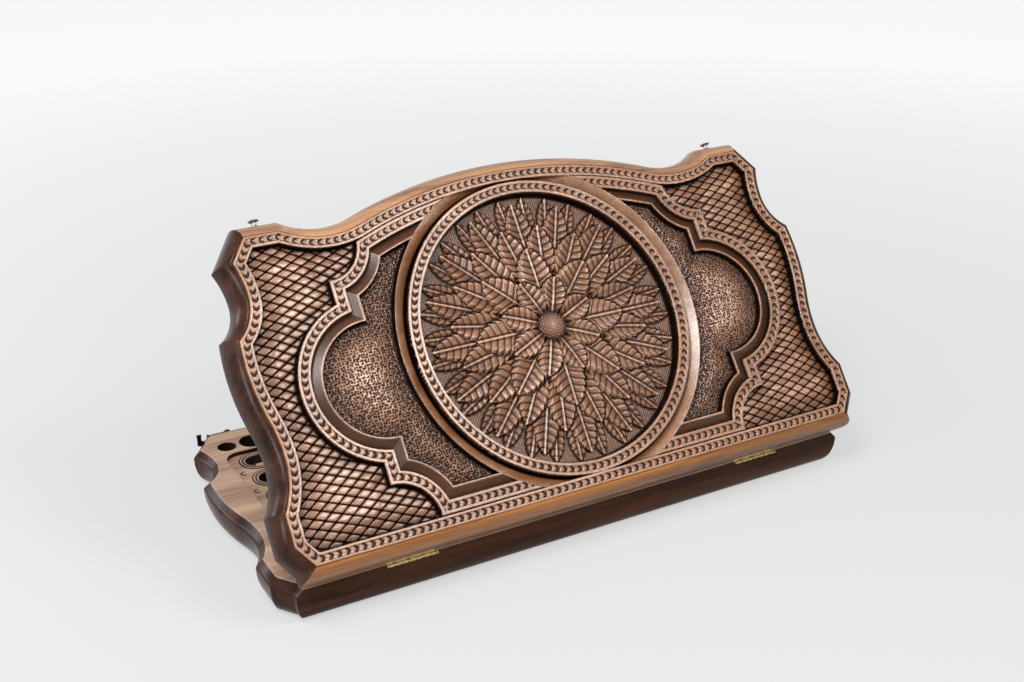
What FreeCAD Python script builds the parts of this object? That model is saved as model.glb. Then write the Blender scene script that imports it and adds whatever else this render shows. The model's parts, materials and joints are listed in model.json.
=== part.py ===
import FreeCAD, Part

# A carved backgammon case: two tray halves of walnut that mirror each other, hinged along the
# long straight front edge. The base half lies carved face down and the lid half is tilted back.
# All sizes are millimetres. X runs along the hinge, +Y to the rear, +Z up. The origin is on the
# resting plane, half way along the case, in the middle of the front run of the border band.
#
# One half is drawn closed, in its own coordinates: u along the hinge from the middle, v from the
# hinge axis to the rear, w from the mating plane (0) outward to the carved face (half_thickness).

import math
import os
from FreeCAD import Vector

# Thickness of one half, from the mating plane outward
half_thickness = 38.0
field_depth = 14.5
field_board_thickness = 8.0
tray_depth = field_depth + field_board_thickness
lid_opening_deg = 51.8

# Plan of the carved face: half lengths are set in from the feet, places along v are counted from
# the hinge axis or down from the rear flats
foot_half_length = 312.5
rear_flat_y = 320.0
crown_rise = 22.0
toe_inset = 13.5
waist_inset = 14.0
belly_inset = 2.7
neck_inset = 23.0
shoulder_inset = 17.5
corner_inset = 34.0
front_edge_y = 15.5
toe_y = 16.5
foot_low_y = 36.0
foot_high_y = 66.0
waist_y = 114.0
belly_drop = 117.0
neck_drop = 55.0
shoulder_drop = 23.0
upper_waist_radius = 146.0
lower_neck_radius = 50.0
arch_radius = 481.0
dip_inset = 115.5
dip_centre_rise = 82.0

# Moulded edge, as a section: a slope from the rim at the mating plane out to a nose, then a
# quarter ellipse up to the carved face, with its quarter cut into three spans
rim_out = 3.3
nose_out = 9.0
nose_height = 8.5
rear_nose_ratio = 15.0 / 9.0
front_out = 12.1
ellipse_middle_height = 32.5

# Border band and cartouche on the carved face
band_width = 11.0
lattice_depth = 8.5
band_groove = 1.0
cartouche_band_width = 12.0
crest_width = 11.5
bevel_low_depth = 6.0
bevel_high_depth = 1.0
stipple_depth = 7.0
cartouche_step_inset = 101.5
cartouche_low_y = 28.0
cartouche_high_drop = 19.0
cartouche_low_radius = 39.0
cartouche_high_radius = 37.0
lobe_back = 22.0
lobe_radius = 79.4
lobe_arc_count = 3

# Medallion: a raised ring with a sloping flange round it and a sunk floor inside, on which a
# rosette is set
ring_gap = 11.5
medallion_shift = 0.75
ring_width = 12.3
flange_width = 12.6
flange_low_depth = 10.0
flange_high_depth = 1.0
medallion_recess = 11.5
boss_radius = 17.0
boss_top_radius = 10.0
boss_height = 6.0
petal_count = 12
petal_inner_radius = 14.0
petal_widest_radius = 62.0
petal_outer_radius = 88.0
petal_width = 27.0
petal_height = 5.5
leaf_inner_radius = 74.0
leaf_widest_radius = 96.0
leaf_outer_radius = 122.0
leaf_width = 24.0
leaf_height = 3.5

# Tray: rails, bay blocks, playing field
field_inset = 29.5
block_inset = 78.5
front_rail_y = 36.0
rear_rail_drop = 44.0
recess_depth = 4.5
recess_inset = 28.5
recess_corner_radius = 15.0
points_per_end = 6
bay_radius = 12.5
bay_inset = 58.5
point_half_width = 11.5
point_base_inset = 60.5
point_base_bulge = 1.5
point_tip_x = 26.0
inlay_thickness = 1.2
outer_pocket_inset = 38.5
outer_pocket_radius = 10.0
inner_pocket_inset = 66.5
inner_pocket_radius = 14.0
pocket_drop = 27.5
pocket_depth = 14.0

# The ring and the small round pieces are drawn with flats, so that the model stays light
ring_sides = 60
turned_sides = 8
screw_sides = 6

# Butt hinges in the mating plane
hinge_inset = 114.5
leaf_length = 50.0
hinge_leaf_thickness = 1.2
hinge_leaf_reach = 17.5
knuckle_count = 7
knuckle_radius = 2.6
knuckle_gap = 0.15
leaf_clearance = 0.4
pin_radius = 1.2
pin_running_clearance = 0.04
pin_head_radius = 2.3
pin_head_length = 1.2
hinge_screw_y = 11.0
hinge_screw_half_spacing = 14.0
hinge_screw_radius = 1.1
hinge_screw_head_radius = 2.1
hinge_screw_length = 12.0
hinge_screw_sink = 0.1

# Hooks on the base half and studs on the lid half, both on the rear flats
catch_inset = 53.5
stud_height = 18.0
hook_pivot_height = 8.0
stud_neck_radius = 2.6
stud_flange_radius = 3.2
stud_flange_thickness = 1.2
stud_seat_depth = 1.4
stud_neck_length = 5.0
stud_head_radius = 4.2
stud_head_rim = 0.9
stud_head_length = 1.8
stud_crown_radius = 2.1
fixing_radius = 1.5
fixing_length = 14.0
washer_radius = 4.0
washer_thickness = 1.2
washer_seat_depth = 0.6
hook_thickness = 2.0
hook_side_clearance = 0.1
hook_eye_radius = 4.5
hook_eye_clearance = 0.05
hook_mouth_clearance = 0.5
hook_arm_half_width = 2.4
hook_grip_width = 4.2
hook_grip_up = 5.5
hook_grip_down = 8.0
hook_beak_width = 2.4
hook_beak_up = 3.4
hook_mouth_wall = 2.4
hook_grip_flare = 0.5
hook_corner_cut = 1.0
pivot_head_radius = 3.4
pivot_head_rim = 0.9
pivot_head_length = 1.8
pivot_crown_radius = 2.0
seat_clearance = 0.1

# How far a cutting shape reaches past the face it cuts
overshoot = 1.0

# Worked out from the sizes above
crown_y = rear_flat_y + crown_rise
belly_y = rear_flat_y - belly_drop
neck_y = rear_flat_y - neck_drop
shoulder_y = rear_flat_y - shoulder_drop
dip_x = foot_half_length - dip_inset
dip_centre_y = rear_flat_y + dip_centre_rise
cartouche_step_x = foot_half_length - cartouche_step_inset
cartouche_high_y = rear_flat_y - cartouche_high_drop
lobe_x = cartouche_step_x - lobe_back
lobe_y = (cartouche_low_y + cartouche_high_y) / 2
medallion_y = (front_edge_y + crown_y) / 2 - medallion_shift
ring_outer_radius = medallion_y - front_edge_y - ring_gap
ring_inner_radius = ring_outer_radius - ring_width
flange_radius = ring_outer_radius + flange_width
field_half_length = foot_half_length - field_inset
block_inner_x = foot_half_length - block_inset
recess_half_length = foot_half_length - recess_inset
bay_x = foot_half_length - bay_inset
point_base_x = foot_half_length - point_base_inset
outer_pocket_x = foot_half_length - outer_pocket_inset
inner_pocket_x = foot_half_length - inner_pocket_inset
rear_rail_y = rear_flat_y - rear_rail_drop
pocket_y = rear_flat_y - pocket_drop
hinge_x = foot_half_length - hinge_inset
catch_x = foot_half_length - catch_inset
hook_reach = stud_height + hook_pivot_height
origin_from_hinge = front_edge_y + band_width / 2
hinge_axis = Vector(0, -origin_from_hinge, half_thickness)
centre_of_arch = (0.0, crown_y - arch_radius)
dip_radius = math.hypot(dip_x, dip_centre_y - centre_of_arch[1]) - arch_radius
ellipse_height = half_thickness - nose_height
widest_half_length = foot_half_length + nose_out
deepest_y = crown_y + nose_out * rear_nose_ratio
point_pitch = (rear_rail_y - front_rail_y) / points_per_end
rear_nose_y = rear_flat_y + nose_out * rear_nose_ratio
corner_half_length = foot_half_length - corner_inset
shoulder_half_length = foot_half_length - shoulder_inset
neck_half_length = foot_half_length - neck_inset
belly_half_length = foot_half_length - belly_inset
waist_half_length = foot_half_length - waist_inset
toe_half_length = foot_half_length - toe_inset
bay_centres_y = [front_rail_y + point_pitch * (number + 0.5) for number in range(points_per_end)]


# Outlines made of straight edges and arcs, each of which can be offset outward by its own distance

def straight(start, end, side):
    """A straight edge through two points; its outside is on the right of the direction."""
    length = math.hypot(end[0] - start[0], end[1] - start[1])
    direction = ((end[0] - start[0]) / length, (end[1] - start[1]) / length)
    return {"kind": "straight", "start": start, "direction": direction, "side": side}


def arc(centre, radius, bulge, side, spans=1):
    """A circular edge: bulge is 1 where it is convex and -1 where it is hollow."""
    return {
        "kind": "arc", "centre": centre, "radius": radius, "bulge": bulge, "side": side, "spans": spans,
    }


def moved_out(edge, offsets):
    distance = offsets[edge["side"]]
    moved = dict(edge)
    if edge["kind"] == "straight":
        dx, dy = edge["direction"]
        moved["start"] = (edge["start"][0] + dy * distance, edge["start"][1] - dx * distance)
    else:
        moved["radius"] = edge["radius"] + edge["bulge"] * distance
    return moved


def circle_meets_line(circle, line):
    dx, dy = line["direction"]
    px = line["start"][0] - circle["centre"][0]
    py = line["start"][1] - circle["centre"][1]
    along = px * dx + py * dy
    reach = math.sqrt(max(along ** 2 - px ** 2 - py ** 2 + circle["radius"] ** 2, 0.0))
    return [
        (line["start"][0] + dx * (sign * reach - along), line["start"][1] + dy * (sign * reach - along))
        for sign in (-1, 1)
    ]


def circle_meets_circle(first, second):
    gap_x = second["centre"][0] - first["centre"][0]
    gap_y = second["centre"][1] - first["centre"][1]
    gap = math.hypot(gap_x, gap_y)
    along = (first["radius"] ** 2 - second["radius"] ** 2 + gap ** 2) / (2 * gap)
    across = math.sqrt(max(first["radius"] ** 2 - along ** 2, 0.0))
    ux, uy = gap_x / gap, gap_y / gap
    return [
        (
            first["centre"][0] + ux * along - uy * across * sign,
            first["centre"][1] + uy * along + ux * across * sign,
        )
        for sign in (-1, 1)
    ]


def line_meets_line(first, second):
    ax, ay = first["direction"]
    bx, by = second["direction"]
    cross = ax * by - ay * bx
    px = second["start"][0] - first["start"][0]
    py = second["start"][1] - first["start"][1]
    along = (px * by - py * bx) / cross
    return [(first["start"][0] + ax * along, first["start"][1] + ay * along)]


def corner_of(first, second, near):
    if first["kind"] == "straight" and second["kind"] == "straight":
        meetings = line_meets_line(first, second)
    elif first["kind"] == "straight":
        meetings = circle_meets_line(second, first)
    elif second["kind"] == "straight":
        meetings = circle_meets_line(first, second)
    else:
        meetings = circle_meets_circle(first, second)
    return min(meetings, key=lambda point: math.hypot(point[0] - near[0], point[1] - near[1]))


def arc_turn(edge, start, end):
    """The angle of an arc's start, and how far it turns to its end: to the left where it is convex."""
    cx, cy = edge["centre"]
    first = math.atan2(start[1] - cy, start[0] - cx)
    turn = math.atan2(end[1] - cy, end[0] - cx) - first
    return first, edge["bulge"] * ((edge["bulge"] * turn) % (2 * math.pi))


def drawn(edge, start, end, level):
    """The spans of the edge between two of its points, at the height level."""
    if edge["kind"] == "straight":
        line = Part.LineSegment(Vector(start[0], start[1], level), Vector(end[0], end[1], level))
        return [line.toShape()]
    cx, cy = edge["centre"]
    first, turn = arc_turn(edge, start, end)
    stops = [first + turn * stop / (2 * edge["spans"]) for stop in range(2 * edge["spans"] + 1)]
    points = [
        Vector(cx + edge["radius"] * math.cos(stop), cy + edge["radius"] * math.sin(stop), level)
        for stop in stops
    ]
    points[0] = Vector(start[0], start[1], level)
    points[-1] = Vector(end[0], end[1], level)
    return [
        Part.Arc(points[2 * span], points[2 * span + 1], points[2 * span + 2]).toShape()
        for span in range(edge["spans"])
    ]


def symmetric_wire(edges, corners, offsets, level):
    """A closed wire: the right half from the front middle to the rear middle, and its mirror image."""
    moved = [moved_out(edge, offsets) for edge in edges]
    points = [corner_of(moved[i], moved[i + 1], corners[i]) for i in range(len(moved) - 1)]
    axis = {"kind": "straight", "start": (0.0, 0.0), "direction": (0.0, 1.0)}
    first = corner_of(moved[0], axis, (0.0, points[0][1]))
    last = corner_of(moved[-1], axis, (0.0, points[-1][1]))
    points = [first] + points + [last]
    right = []
    for i in range(len(moved)):
        right += drawn(moved[i], points[i], points[i + 1], level)
    left = []
    for i in reversed(range(len(moved))):
        mirrored = dict(moved[i])
        if mirrored["kind"] == "arc":
            mirrored["centre"] = (-mirrored["centre"][0], mirrored["centre"][1])
        start = (-points[i + 1][0], points[i + 1][1])
        end = (-points[i][0], points[i][1])
        left += drawn(mirrored, start, end, level)
    return Part.Wire(right + left)


def arc_radius_through(across, along):
    """Radius of an arc that leaves its vertex square and passes a point across and along from it."""
    return (across ** 2 + along ** 2) / (2 * across)


def case_outline():
    """Edges and corners of the carved face, from the front middle to the rear middle."""
    lower_waist_radius = arc_radius_through(waist_inset, waist_y - foot_high_y)
    belly_bulge = belly_half_length - waist_half_length
    both_radii = arc_radius_through(belly_bulge, belly_y - waist_y)
    belly_radius = both_radii - upper_waist_radius
    upper_neck_radius = arc_radius_through(shoulder_half_length - neck_half_length, shoulder_y - neck_y)
    edges = [
        straight((0.0, front_edge_y), (toe_half_length, front_edge_y), "front"),
        straight((toe_half_length, front_edge_y), (toe_half_length, toe_y), "end"),
        straight((toe_half_length, toe_y), (foot_half_length, foot_low_y), "end"),
        straight((foot_half_length, foot_low_y), (foot_half_length, foot_high_y), "end"),
        arc((waist_half_length + lower_waist_radius, waist_y), lower_waist_radius, -1, "end"),
        arc((waist_half_length + upper_waist_radius, waist_y), upper_waist_radius, -1, "end"),
        arc((belly_half_length - belly_radius, belly_y), belly_radius, 1, "end"),
        arc((neck_half_length + lower_neck_radius, neck_y), lower_neck_radius, -1, "end"),
        arc((neck_half_length + upper_neck_radius, neck_y), upper_neck_radius, -1, "end"),
        straight((shoulder_half_length, shoulder_y), (corner_half_length, rear_flat_y), "end"),
        straight((corner_half_length, rear_flat_y), (0.0, rear_flat_y), "rear"),
        arc((dip_x, dip_centre_y), dip_radius, -1, "rear"),
        arc(centre_of_arch, arch_radius, 1, "rear"),
    ]
    belly_centre_x = belly_half_length - belly_radius
    inflection = upper_waist_radius / both_radii
    arch_share = arch_radius / (arch_radius + dip_radius)
    corners = [
        (toe_half_length, front_edge_y),
        (toe_half_length, toe_y),
        (foot_half_length, foot_low_y),
        (foot_half_length, foot_high_y),
        (waist_half_length, waist_y),
        (
            waist_half_length + upper_waist_radius
            + (belly_centre_x - waist_half_length - upper_waist_radius) * inflection,
            waist_y + (belly_y - waist_y) * inflection,
        ),
        (belly_half_length, neck_y - lower_neck_radius),
        (neck_half_length, neck_y),
        (shoulder_half_length, shoulder_y),
        (corner_half_length, rear_flat_y),
        (dip_x + dip_radius / 2, rear_flat_y),
        (dip_x * arch_share, centre_of_arch[1] + (dip_centre_y - centre_of_arch[1]) * arch_share),
    ]
    return edges, corners


def cartouche_outline():
    """Outer edge of the lobed inner band, from the front middle to the rear middle."""
    top_radius = arch_radius - band_width - band_groove
    step = cartouche_step_x
    lobe_rise = math.sqrt(lobe_radius ** 2 - (step - lobe_x) ** 2)
    edges = [
        straight((0.0, cartouche_low_y), (step, cartouche_low_y), "end"),
        arc((step, cartouche_low_y), cartouche_low_radius, -1, "end"),
        straight((step, cartouche_low_y), (step, lobe_y), "end"),
        arc((lobe_x, lobe_y), lobe_radius, 1, "end", lobe_arc_count),
        straight((step, lobe_y), (step, cartouche_high_y), "end"),
        arc((step, cartouche_high_y), cartouche_high_radius, -1, "end"),
        arc(centre_of_arch, top_radius, 1, "end"),
    ]
    corners = [
        (step - cartouche_low_radius, cartouche_low_y),
        (step, cartouche_low_y + cartouche_low_radius),
        (step, lobe_y - lobe_rise),
        (step, lobe_y + lobe_rise),
        (step, cartouche_high_y - cartouche_high_radius),
        (step - cartouche_high_radius, cartouche_high_y),
    ]
    return edges, corners


def same_on_all_sides(distance):
    return {"front": distance, "end": distance, "rear": distance}


def case_wire(offsets, level):
    edges, corners = case_outline()
    return symmetric_wire(edges, corners, offsets, level)


def cartouche_wire(distance_inside, level):
    edges, corners = cartouche_outline()
    return symmetric_wire(edges, corners, same_on_all_sides(-distance_inside), level)


def prism(wire, low, high):
    """The solid above a flat wire drawn at height 0."""
    face = Part.Face(wire)
    face.translate(Vector(0, 0, low))
    return face.extrude(Vector(0, 0, high - low))


def box(u_low, u_high, v_low, v_high, w_low, w_high):
    return Part.makeBox(u_high - u_low, v_high - v_low, w_high - w_low, Vector(u_low, v_low, w_low))


def post(x, y, radius, low, high):
    return Part.makeCylinder(radius, high - low, Vector(x, y, low))


def flat_sided(stations, sides):
    """A small turned piece along Z with flat sides, through (height, radius) stations."""
    turns = [2 * math.pi * number / sides for number in range(sides)]
    rings = []
    for height, radius in stations:
        ring = [Vector(radius * math.cos(turn), radius * math.sin(turn), height) for turn in turns]
        rings.append(ring + ring[:1])
    faces = [Part.Face(Part.makePolygon(rings[0])), Part.Face(Part.makePolygon(rings[-1]))]
    for low, high in zip(rings, rings[1:]):
        for i in range(sides):
            facet = [low[i], low[i + 1], high[i + 1], high[i], low[i]]
            faces.append(Part.Face(Part.makePolygon(facet)))
    return outward_solid(faces)


def outward_solid(faces):
    solid = Part.makeSolid(Part.makeShell(faces))
    if solid.Volume < 0:
        solid.reverse()
    return solid


def around(radius, sides):
    """Corner radius of a hole with flat sides that clears a round pin of the radius."""
    return radius / math.cos(math.pi / sides)


def laid(shape, direction, start):
    """Turn a piece from +Z to a row direction and move its foot to start."""
    shape = shape.copy()
    if direction == "along_hinge":
        shape.rotate(Vector(0, 0, 0), Vector(0, 1, 0), 90)
    elif direction == "rearward":
        shape.rotate(Vector(0, 0, 0), Vector(1, 0, 0), -90)
    shape.translate(start)
    return shape


def both_sides(make):
    """The solids that make(side) gives for the left (-1) and right (1) side, as one shape."""
    return Part.makeCompound([make(-1), make(1)])


# The moulded edge

def moulding_offsets(height):
    """How far the moulding stands outside the carved outline at a height from the mating plane."""
    rise = max((height - nose_height) / ellipse_height, 0.0)
    swell = math.sqrt(1 - rise ** 2)
    end_out = nose_out * swell
    if height < nose_height:
        end_out = rim_out + (nose_out - rim_out) * height / nose_height
    return {"front": front_out * swell, "end": end_out, "rear": end_out * rear_nose_ratio}


def moulded_block(heights):
    wires = [case_wire(moulding_offsets(height), height) for height in heights]
    return Part.makeLoft(wires, True, True)


def tray_block(v_low, v_high):
    """The tray's share of the moulded block, between two places from the hinge axis."""
    whole = moulded_block([0.0, nose_height, tray_depth])
    return whole.common(box(-widest_half_length, widest_half_length, v_low, v_high, 0, tray_depth))


def carved_block():
    return moulded_block([tray_depth, ellipse_middle_height, half_thickness])


# Wooden parts of one half

def hinge_mortise(side):
    return box(
        side * hinge_x - leaf_length / 2, side * hinge_x + leaf_length / 2,
        0.0, hinge_leaf_reach, 0.0, hinge_leaf_thickness,
    )


def hinge_screw_places(side):
    return [
        (side * hinge_x - hinge_screw_half_spacing, hinge_screw_y),
        (side * hinge_x + hinge_screw_half_spacing, hinge_screw_y),
    ]


def front_rail():
    rail = tray_block(0, front_rail_y)
    for side in (-1, 1):
        rail = rail.cut(hinge_mortise(side))
        for x, y in hinge_screw_places(side):
            rail = rail.cut(hinge_screw(x, y))
    return rail


def rear_rail():
    return tray_block(rear_rail_y, deepest_y)


def pockets(side):
    """Two round pockets for dice at the rear end of the bays."""
    outer = post(side * outer_pocket_x, pocket_y, outer_pocket_radius, 0, pocket_depth)
    return outer.fuse(post(side * inner_pocket_x, pocket_y, inner_pocket_radius, 0, pocket_depth))


def bay_slot(side, y):
    """A round bay that opens towards the playing field."""
    mouth = box(
        min(0, side * bay_x), max(0, side * bay_x), y - bay_radius, y + bay_radius, 0, field_depth
    )
    return post(side * bay_x, y, bay_radius, 0, field_depth).fuse(mouth)


def rounded_recess(half_length, low_y, high_y, corner_radius, depth):
    recess = box(-half_length, half_length, low_y, high_y, 0, depth)
    upright = [
        edge for edge in recess.Edges
        if abs(edge.Vertexes[0].Z - edge.Vertexes[-1].Z) > depth / 2
    ]
    return recess.makeFillet(corner_radius, upright)


def bay_block(side):
    """The block between field and outer edge at one end, with its row of bays."""
    ends = sorted((side * block_inner_x, side * widest_half_length))
    block = tray_block(front_rail_y, rear_rail_y)
    block = block.common(box(ends[0], ends[1], front_rail_y, rear_rail_y, 0, tray_depth))
    block = block.cut(
        rounded_recess(recess_half_length, front_rail_y, rear_rail_y, recess_corner_radius, recess_depth)
    )
    block = block.cut(
        box(-field_half_length, field_half_length, front_rail_y, rear_rail_y, field_depth, tray_depth)
    )
    for y in bay_centres_y:
        block = block.cut(bay_slot(side, y))
    return block


def point_inlay(side, y):
    """One long point of the playing field: a bulging base that tapers to a tip."""
    low_base = Vector(side * point_base_x, y - point_half_width, 0)
    high_base = Vector(side * point_base_x, y + point_half_width, 0)
    tip = Vector(side * point_tip_x, y, 0)
    wire = Part.Wire([
        Part.Arc(low_base, Vector(side * (point_base_x + point_base_bulge), y, 0), high_base).toShape(),
        Part.LineSegment(high_base, tip).toShape(),
        Part.LineSegment(tip, low_base).toShape(),
    ])
    return prism(wire, field_depth, field_depth + inlay_thickness)


def point_inlays(first):
    """Every second point of both ends: first is 0 for the pale ones and 1 for the dark ones."""
    inlays = []
    for side in (-1, 1):
        for number, y in enumerate(bay_centres_y):
            from_rear = points_per_end - 1 - number
            shift = 0 if side < 0 else 1
            if (from_rear + shift) % 2 == first:
                inlays.append(point_inlay(side, y))
    return Part.makeCompound(inlays)


def playing_field():
    field = box(-field_half_length, field_half_length, front_rail_y, rear_rail_y, field_depth, tray_depth)
    for first in (0, 1):
        for inlay in point_inlays(first).Solids:
            field = field.cut(inlay)
    return field


def face_depth(depth):
    """Height of a level that lies a depth below the carved face."""
    return half_thickness - depth


def above_face():
    return half_thickness + overshoot


def medallion_round(stations):
    """A round form about the middle of the medallion, through (height, radius) stations."""
    turned = flat_sided(stations, ring_sides)
    turned.translate(Vector(0, medallion_y, 0))
    return turned


def lattice_ground():
    """What is cut away between the border band and the cartouche, at both ends."""
    floor = face_depth(lattice_depth)
    middle_half_length = cartouche_step_x - cartouche_low_radius
    inside_border = prism(case_wire(same_on_all_sides(-band_width), 0), floor, above_face())
    cartouche = prism(cartouche_wire(0, 0), floor, above_face())
    middle = box(-middle_half_length, middle_half_length, 0, crown_y, floor, above_face())
    return inside_border.cut(cartouche).cut(middle)


def bevel_ground():
    """What is cut away above the slope that climbs from the cartouche band to a thin crest."""
    low_edge = cartouche_wire(cartouche_band_width, face_depth(bevel_low_depth))
    crest = cartouche_wire(cartouche_band_width + crest_width, face_depth(bevel_high_depth))
    plateau = Part.makeLoft([low_edge, crest], True, True)
    inside_band = prism(cartouche_wire(cartouche_band_width, 0), face_depth(bevel_low_depth), above_face())
    return inside_band.cut(plateau)


def stipple_ground(inner_radius):
    """What is cut away inside the crest, outside a circle round the medallion."""
    crest = cartouche_wire(cartouche_band_width + crest_width, 0)
    inside_crest = prism(crest, face_depth(stipple_depth), above_face())
    return inside_crest.cut(medallion_round([(0, inner_radius), (above_face(), inner_radius)]))


def flange_ground():
    """What is cut away above the flange, a cone that climbs away from the foot of the ring."""
    low = face_depth(flange_low_depth)
    high = face_depth(flange_high_depth)
    cone = medallion_round([(low, ring_outer_radius), (high, flange_radius), (above_face(), flange_radius)])
    cone = cone.cut(medallion_round([(0, ring_outer_radius), (above_face(), ring_outer_radius)]))
    inside_border = prism(case_wire(same_on_all_sides(-band_width), 0), low, above_face())
    return cone.common(inside_border)


def carved_board(grounds):
    """The outer board with its sunk grounds and the recess of the medallion."""
    board = carved_block()
    for ground in grounds:
        board = board.cut(ground)
    floor = face_depth(medallion_recess)
    return board.cut(medallion_round([(floor, ring_inner_radius), (above_face(), ring_inner_radius)]))


def lid_carved_board():
    return carved_board([lattice_ground(), bevel_ground(), stipple_ground(flange_radius), flange_ground()])


def base_carved_board():
    """The face that the case lies on has level grounds only, to keep the model light."""
    return carved_board([lattice_ground(), stipple_ground(ring_outer_radius)])


def chip_leaf(inner, widest, outer, width, height, angle, floor):
    """A kite-shaped chip-carved leaf along a spoke: four facets that rise to one point."""
    heel = Vector(inner, 0, 0)
    left = Vector(widest, width / 2, 0)
    tip = Vector(outer, 0, 0)
    right = Vector(widest, -width / 2, 0)
    top = Vector(widest, 0, height)
    rim = [heel, right, tip, left]
    faces = [Part.Face(Part.makePolygon(rim + [heel]))]
    for first, second in zip(rim, rim[1:] + [heel]):
        faces.append(Part.Face(Part.makePolygon([first, second, top, first])))
    leaf = outward_solid(faces)
    leaf.translate(Vector(0, 0, floor))
    leaf.rotate(Vector(0, 0, 0), Vector(0, 0, 1), angle)
    return leaf


def rosette():
    """Twelve petals joined by a boss, and a second row of twelve loose leaves between their tips."""
    floor = face_depth(medallion_recess)
    turn = 360.0 / petal_count
    star = flat_sided([(floor, boss_radius), (floor + boss_height, boss_top_radius)], petal_count)
    leaves = []
    for number in range(petal_count):
        star = star.fuse(
            chip_leaf(
                petal_inner_radius, petal_widest_radius, petal_outer_radius,
                petal_width, petal_height, turn * number, floor,
            )
        )
        leaves.append(
            chip_leaf(
                leaf_inner_radius, leaf_widest_radius, leaf_outer_radius,
                leaf_width, leaf_height, turn * (number + 0.5), floor,
            )
        )
    whole = Part.makeCompound([star] + leaves)
    whole.translate(Vector(0, medallion_y, 0))
    return whole


# Hinges

def own_knuckles(half):
    return [number for number in range(knuckle_count) if (number % 2 == 0) == (half == "base")]


def knuckle_span(side, number):
    length = leaf_length / knuckle_count
    low = side * hinge_x - leaf_length / 2 + number * length
    return low + knuckle_gap / 2, low + length - knuckle_gap / 2


def along_hinge(radius, low, high):
    barrel = flat_sided([(0, radius), (high - low, radius)], turned_sides)
    return laid(barrel, "along_hinge", Vector(low, 0, 0))


def hinge_leaf(side, half):
    low = side * hinge_x - leaf_length / 2
    leaf = box(
        low, low + leaf_length, knuckle_radius + leaf_clearance, hinge_leaf_reach, 0, hinge_leaf_thickness
    )
    for number in own_knuckles(half):
        start, end = knuckle_span(side, number)
        leaf = leaf.fuse(along_hinge(knuckle_radius, start, end))
        leaf = leaf.fuse(box(start, end, 0, hinge_leaf_reach, 0, hinge_leaf_thickness))
    bore = around(pin_radius + pin_running_clearance, turned_sides)
    leaf = leaf.cut(along_hinge(bore, low - overshoot, low + leaf_length + overshoot))
    for x, y in hinge_screw_places(side):
        leaf = leaf.cut(hinge_screw(x, y))
    return leaf.removeSplitter()


def hinge_pin(side):
    stations = [
        (-pin_head_length, pin_head_radius), (0, pin_head_radius), (0, pin_radius),
        (leaf_length, pin_radius), (leaf_length, pin_head_radius),
        (leaf_length + pin_head_length, pin_head_radius),
    ]
    low = side * hinge_x - leaf_length / 2
    return laid(flat_sided(stations, turned_sides), "along_hinge", Vector(low, 0, 0))


def hinge_screw(x, y):
    """A countersunk screw, its head just under the face of the leaf."""
    stations = [
        (hinge_screw_sink, hinge_screw_head_radius), (hinge_leaf_thickness, hinge_screw_radius),
        (hinge_screw_length, hinge_screw_radius),
    ]
    screw = flat_sided(stations, screw_sides)
    screw.translate(Vector(x, y, 0))
    return screw


def hinge_screws():
    return Part.makeCompound([
        hinge_screw(x, y) for side in (-1, 1) for x, y in hinge_screw_places(side)
    ])


# Studs and hooks, drawn with their axis along the rear direction v

def rearward(stations, side, height, foot):
    """A turned piece that stands on the rear edge at the catch, its axis to the rear."""
    return laid(flat_sided(stations, turned_sides), "rearward", Vector(side * catch_x, foot, height))


def stud_seat_y():
    return rear_flat_y + moulding_offsets(stud_height)["rear"] - stud_seat_depth


def stud(side):
    neck = stud_flange_thickness
    head = neck + stud_neck_length
    stations = [
        (-fixing_length, fixing_radius), (0, fixing_radius), (0, stud_flange_radius),
        (neck, stud_flange_radius), (neck, stud_neck_radius), (head, stud_neck_radius),
        (head, stud_head_radius), (head + stud_head_rim, stud_head_radius),
        (head + stud_head_length, stud_crown_radius),
    ]
    return rearward(stations, side, stud_height, stud_seat_y())


def seat_hole(side, height, foot, seat_radius):
    """Room for a shank and for the flange or washer that lies flat in the moulding."""
    seat = around(seat_radius + seat_clearance, turned_sides)
    stations = [(-fixing_length, fixing_radius), (0, fixing_radius), (0, seat), (crown_y - foot, seat)]
    return rearward(stations, side, height, foot)


def stud_hole(side):
    return seat_hole(side, stud_height, stud_seat_y(), stud_flange_radius)


def hook_seat_y():
    return rear_nose_y - washer_seat_depth


def hook_screw(side):
    """The pivot screw and its washer, as two solids; the hook turns between washer and head."""
    head = washer_thickness + hook_thickness + 2 * hook_side_clearance
    washer = rearward(
        [(0, washer_radius), (washer_thickness, washer_radius)], side, hook_pivot_height, hook_seat_y()
    )
    screw = rearward(
        [
            (-fixing_length, fixing_radius), (head, fixing_radius), (head, pivot_head_radius),
            (head + pivot_head_rim, pivot_head_radius), (head + pivot_head_length, pivot_crown_radius),
        ],
        side, hook_pivot_height, hook_seat_y(),
    )
    return Part.makeCompound([washer.cut(screw), screw])


def hook_screw_hole(side):
    return seat_hole(side, hook_pivot_height, hook_seat_y(), washer_radius)


def bend(centre_a, radius, start_deg, end_deg):
    """Points along a round stretch of the hook's outline, one for each flat of a turned piece."""
    count = round(abs(end_deg - start_deg) / 360 * turned_sides)
    turns = [
        math.radians(start_deg + (end_deg - start_deg) * step / count)
        for step in range(count + 1)
    ]
    return [(centre_a + radius * math.cos(turn), radius * math.sin(turn)) for turn in turns]


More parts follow.
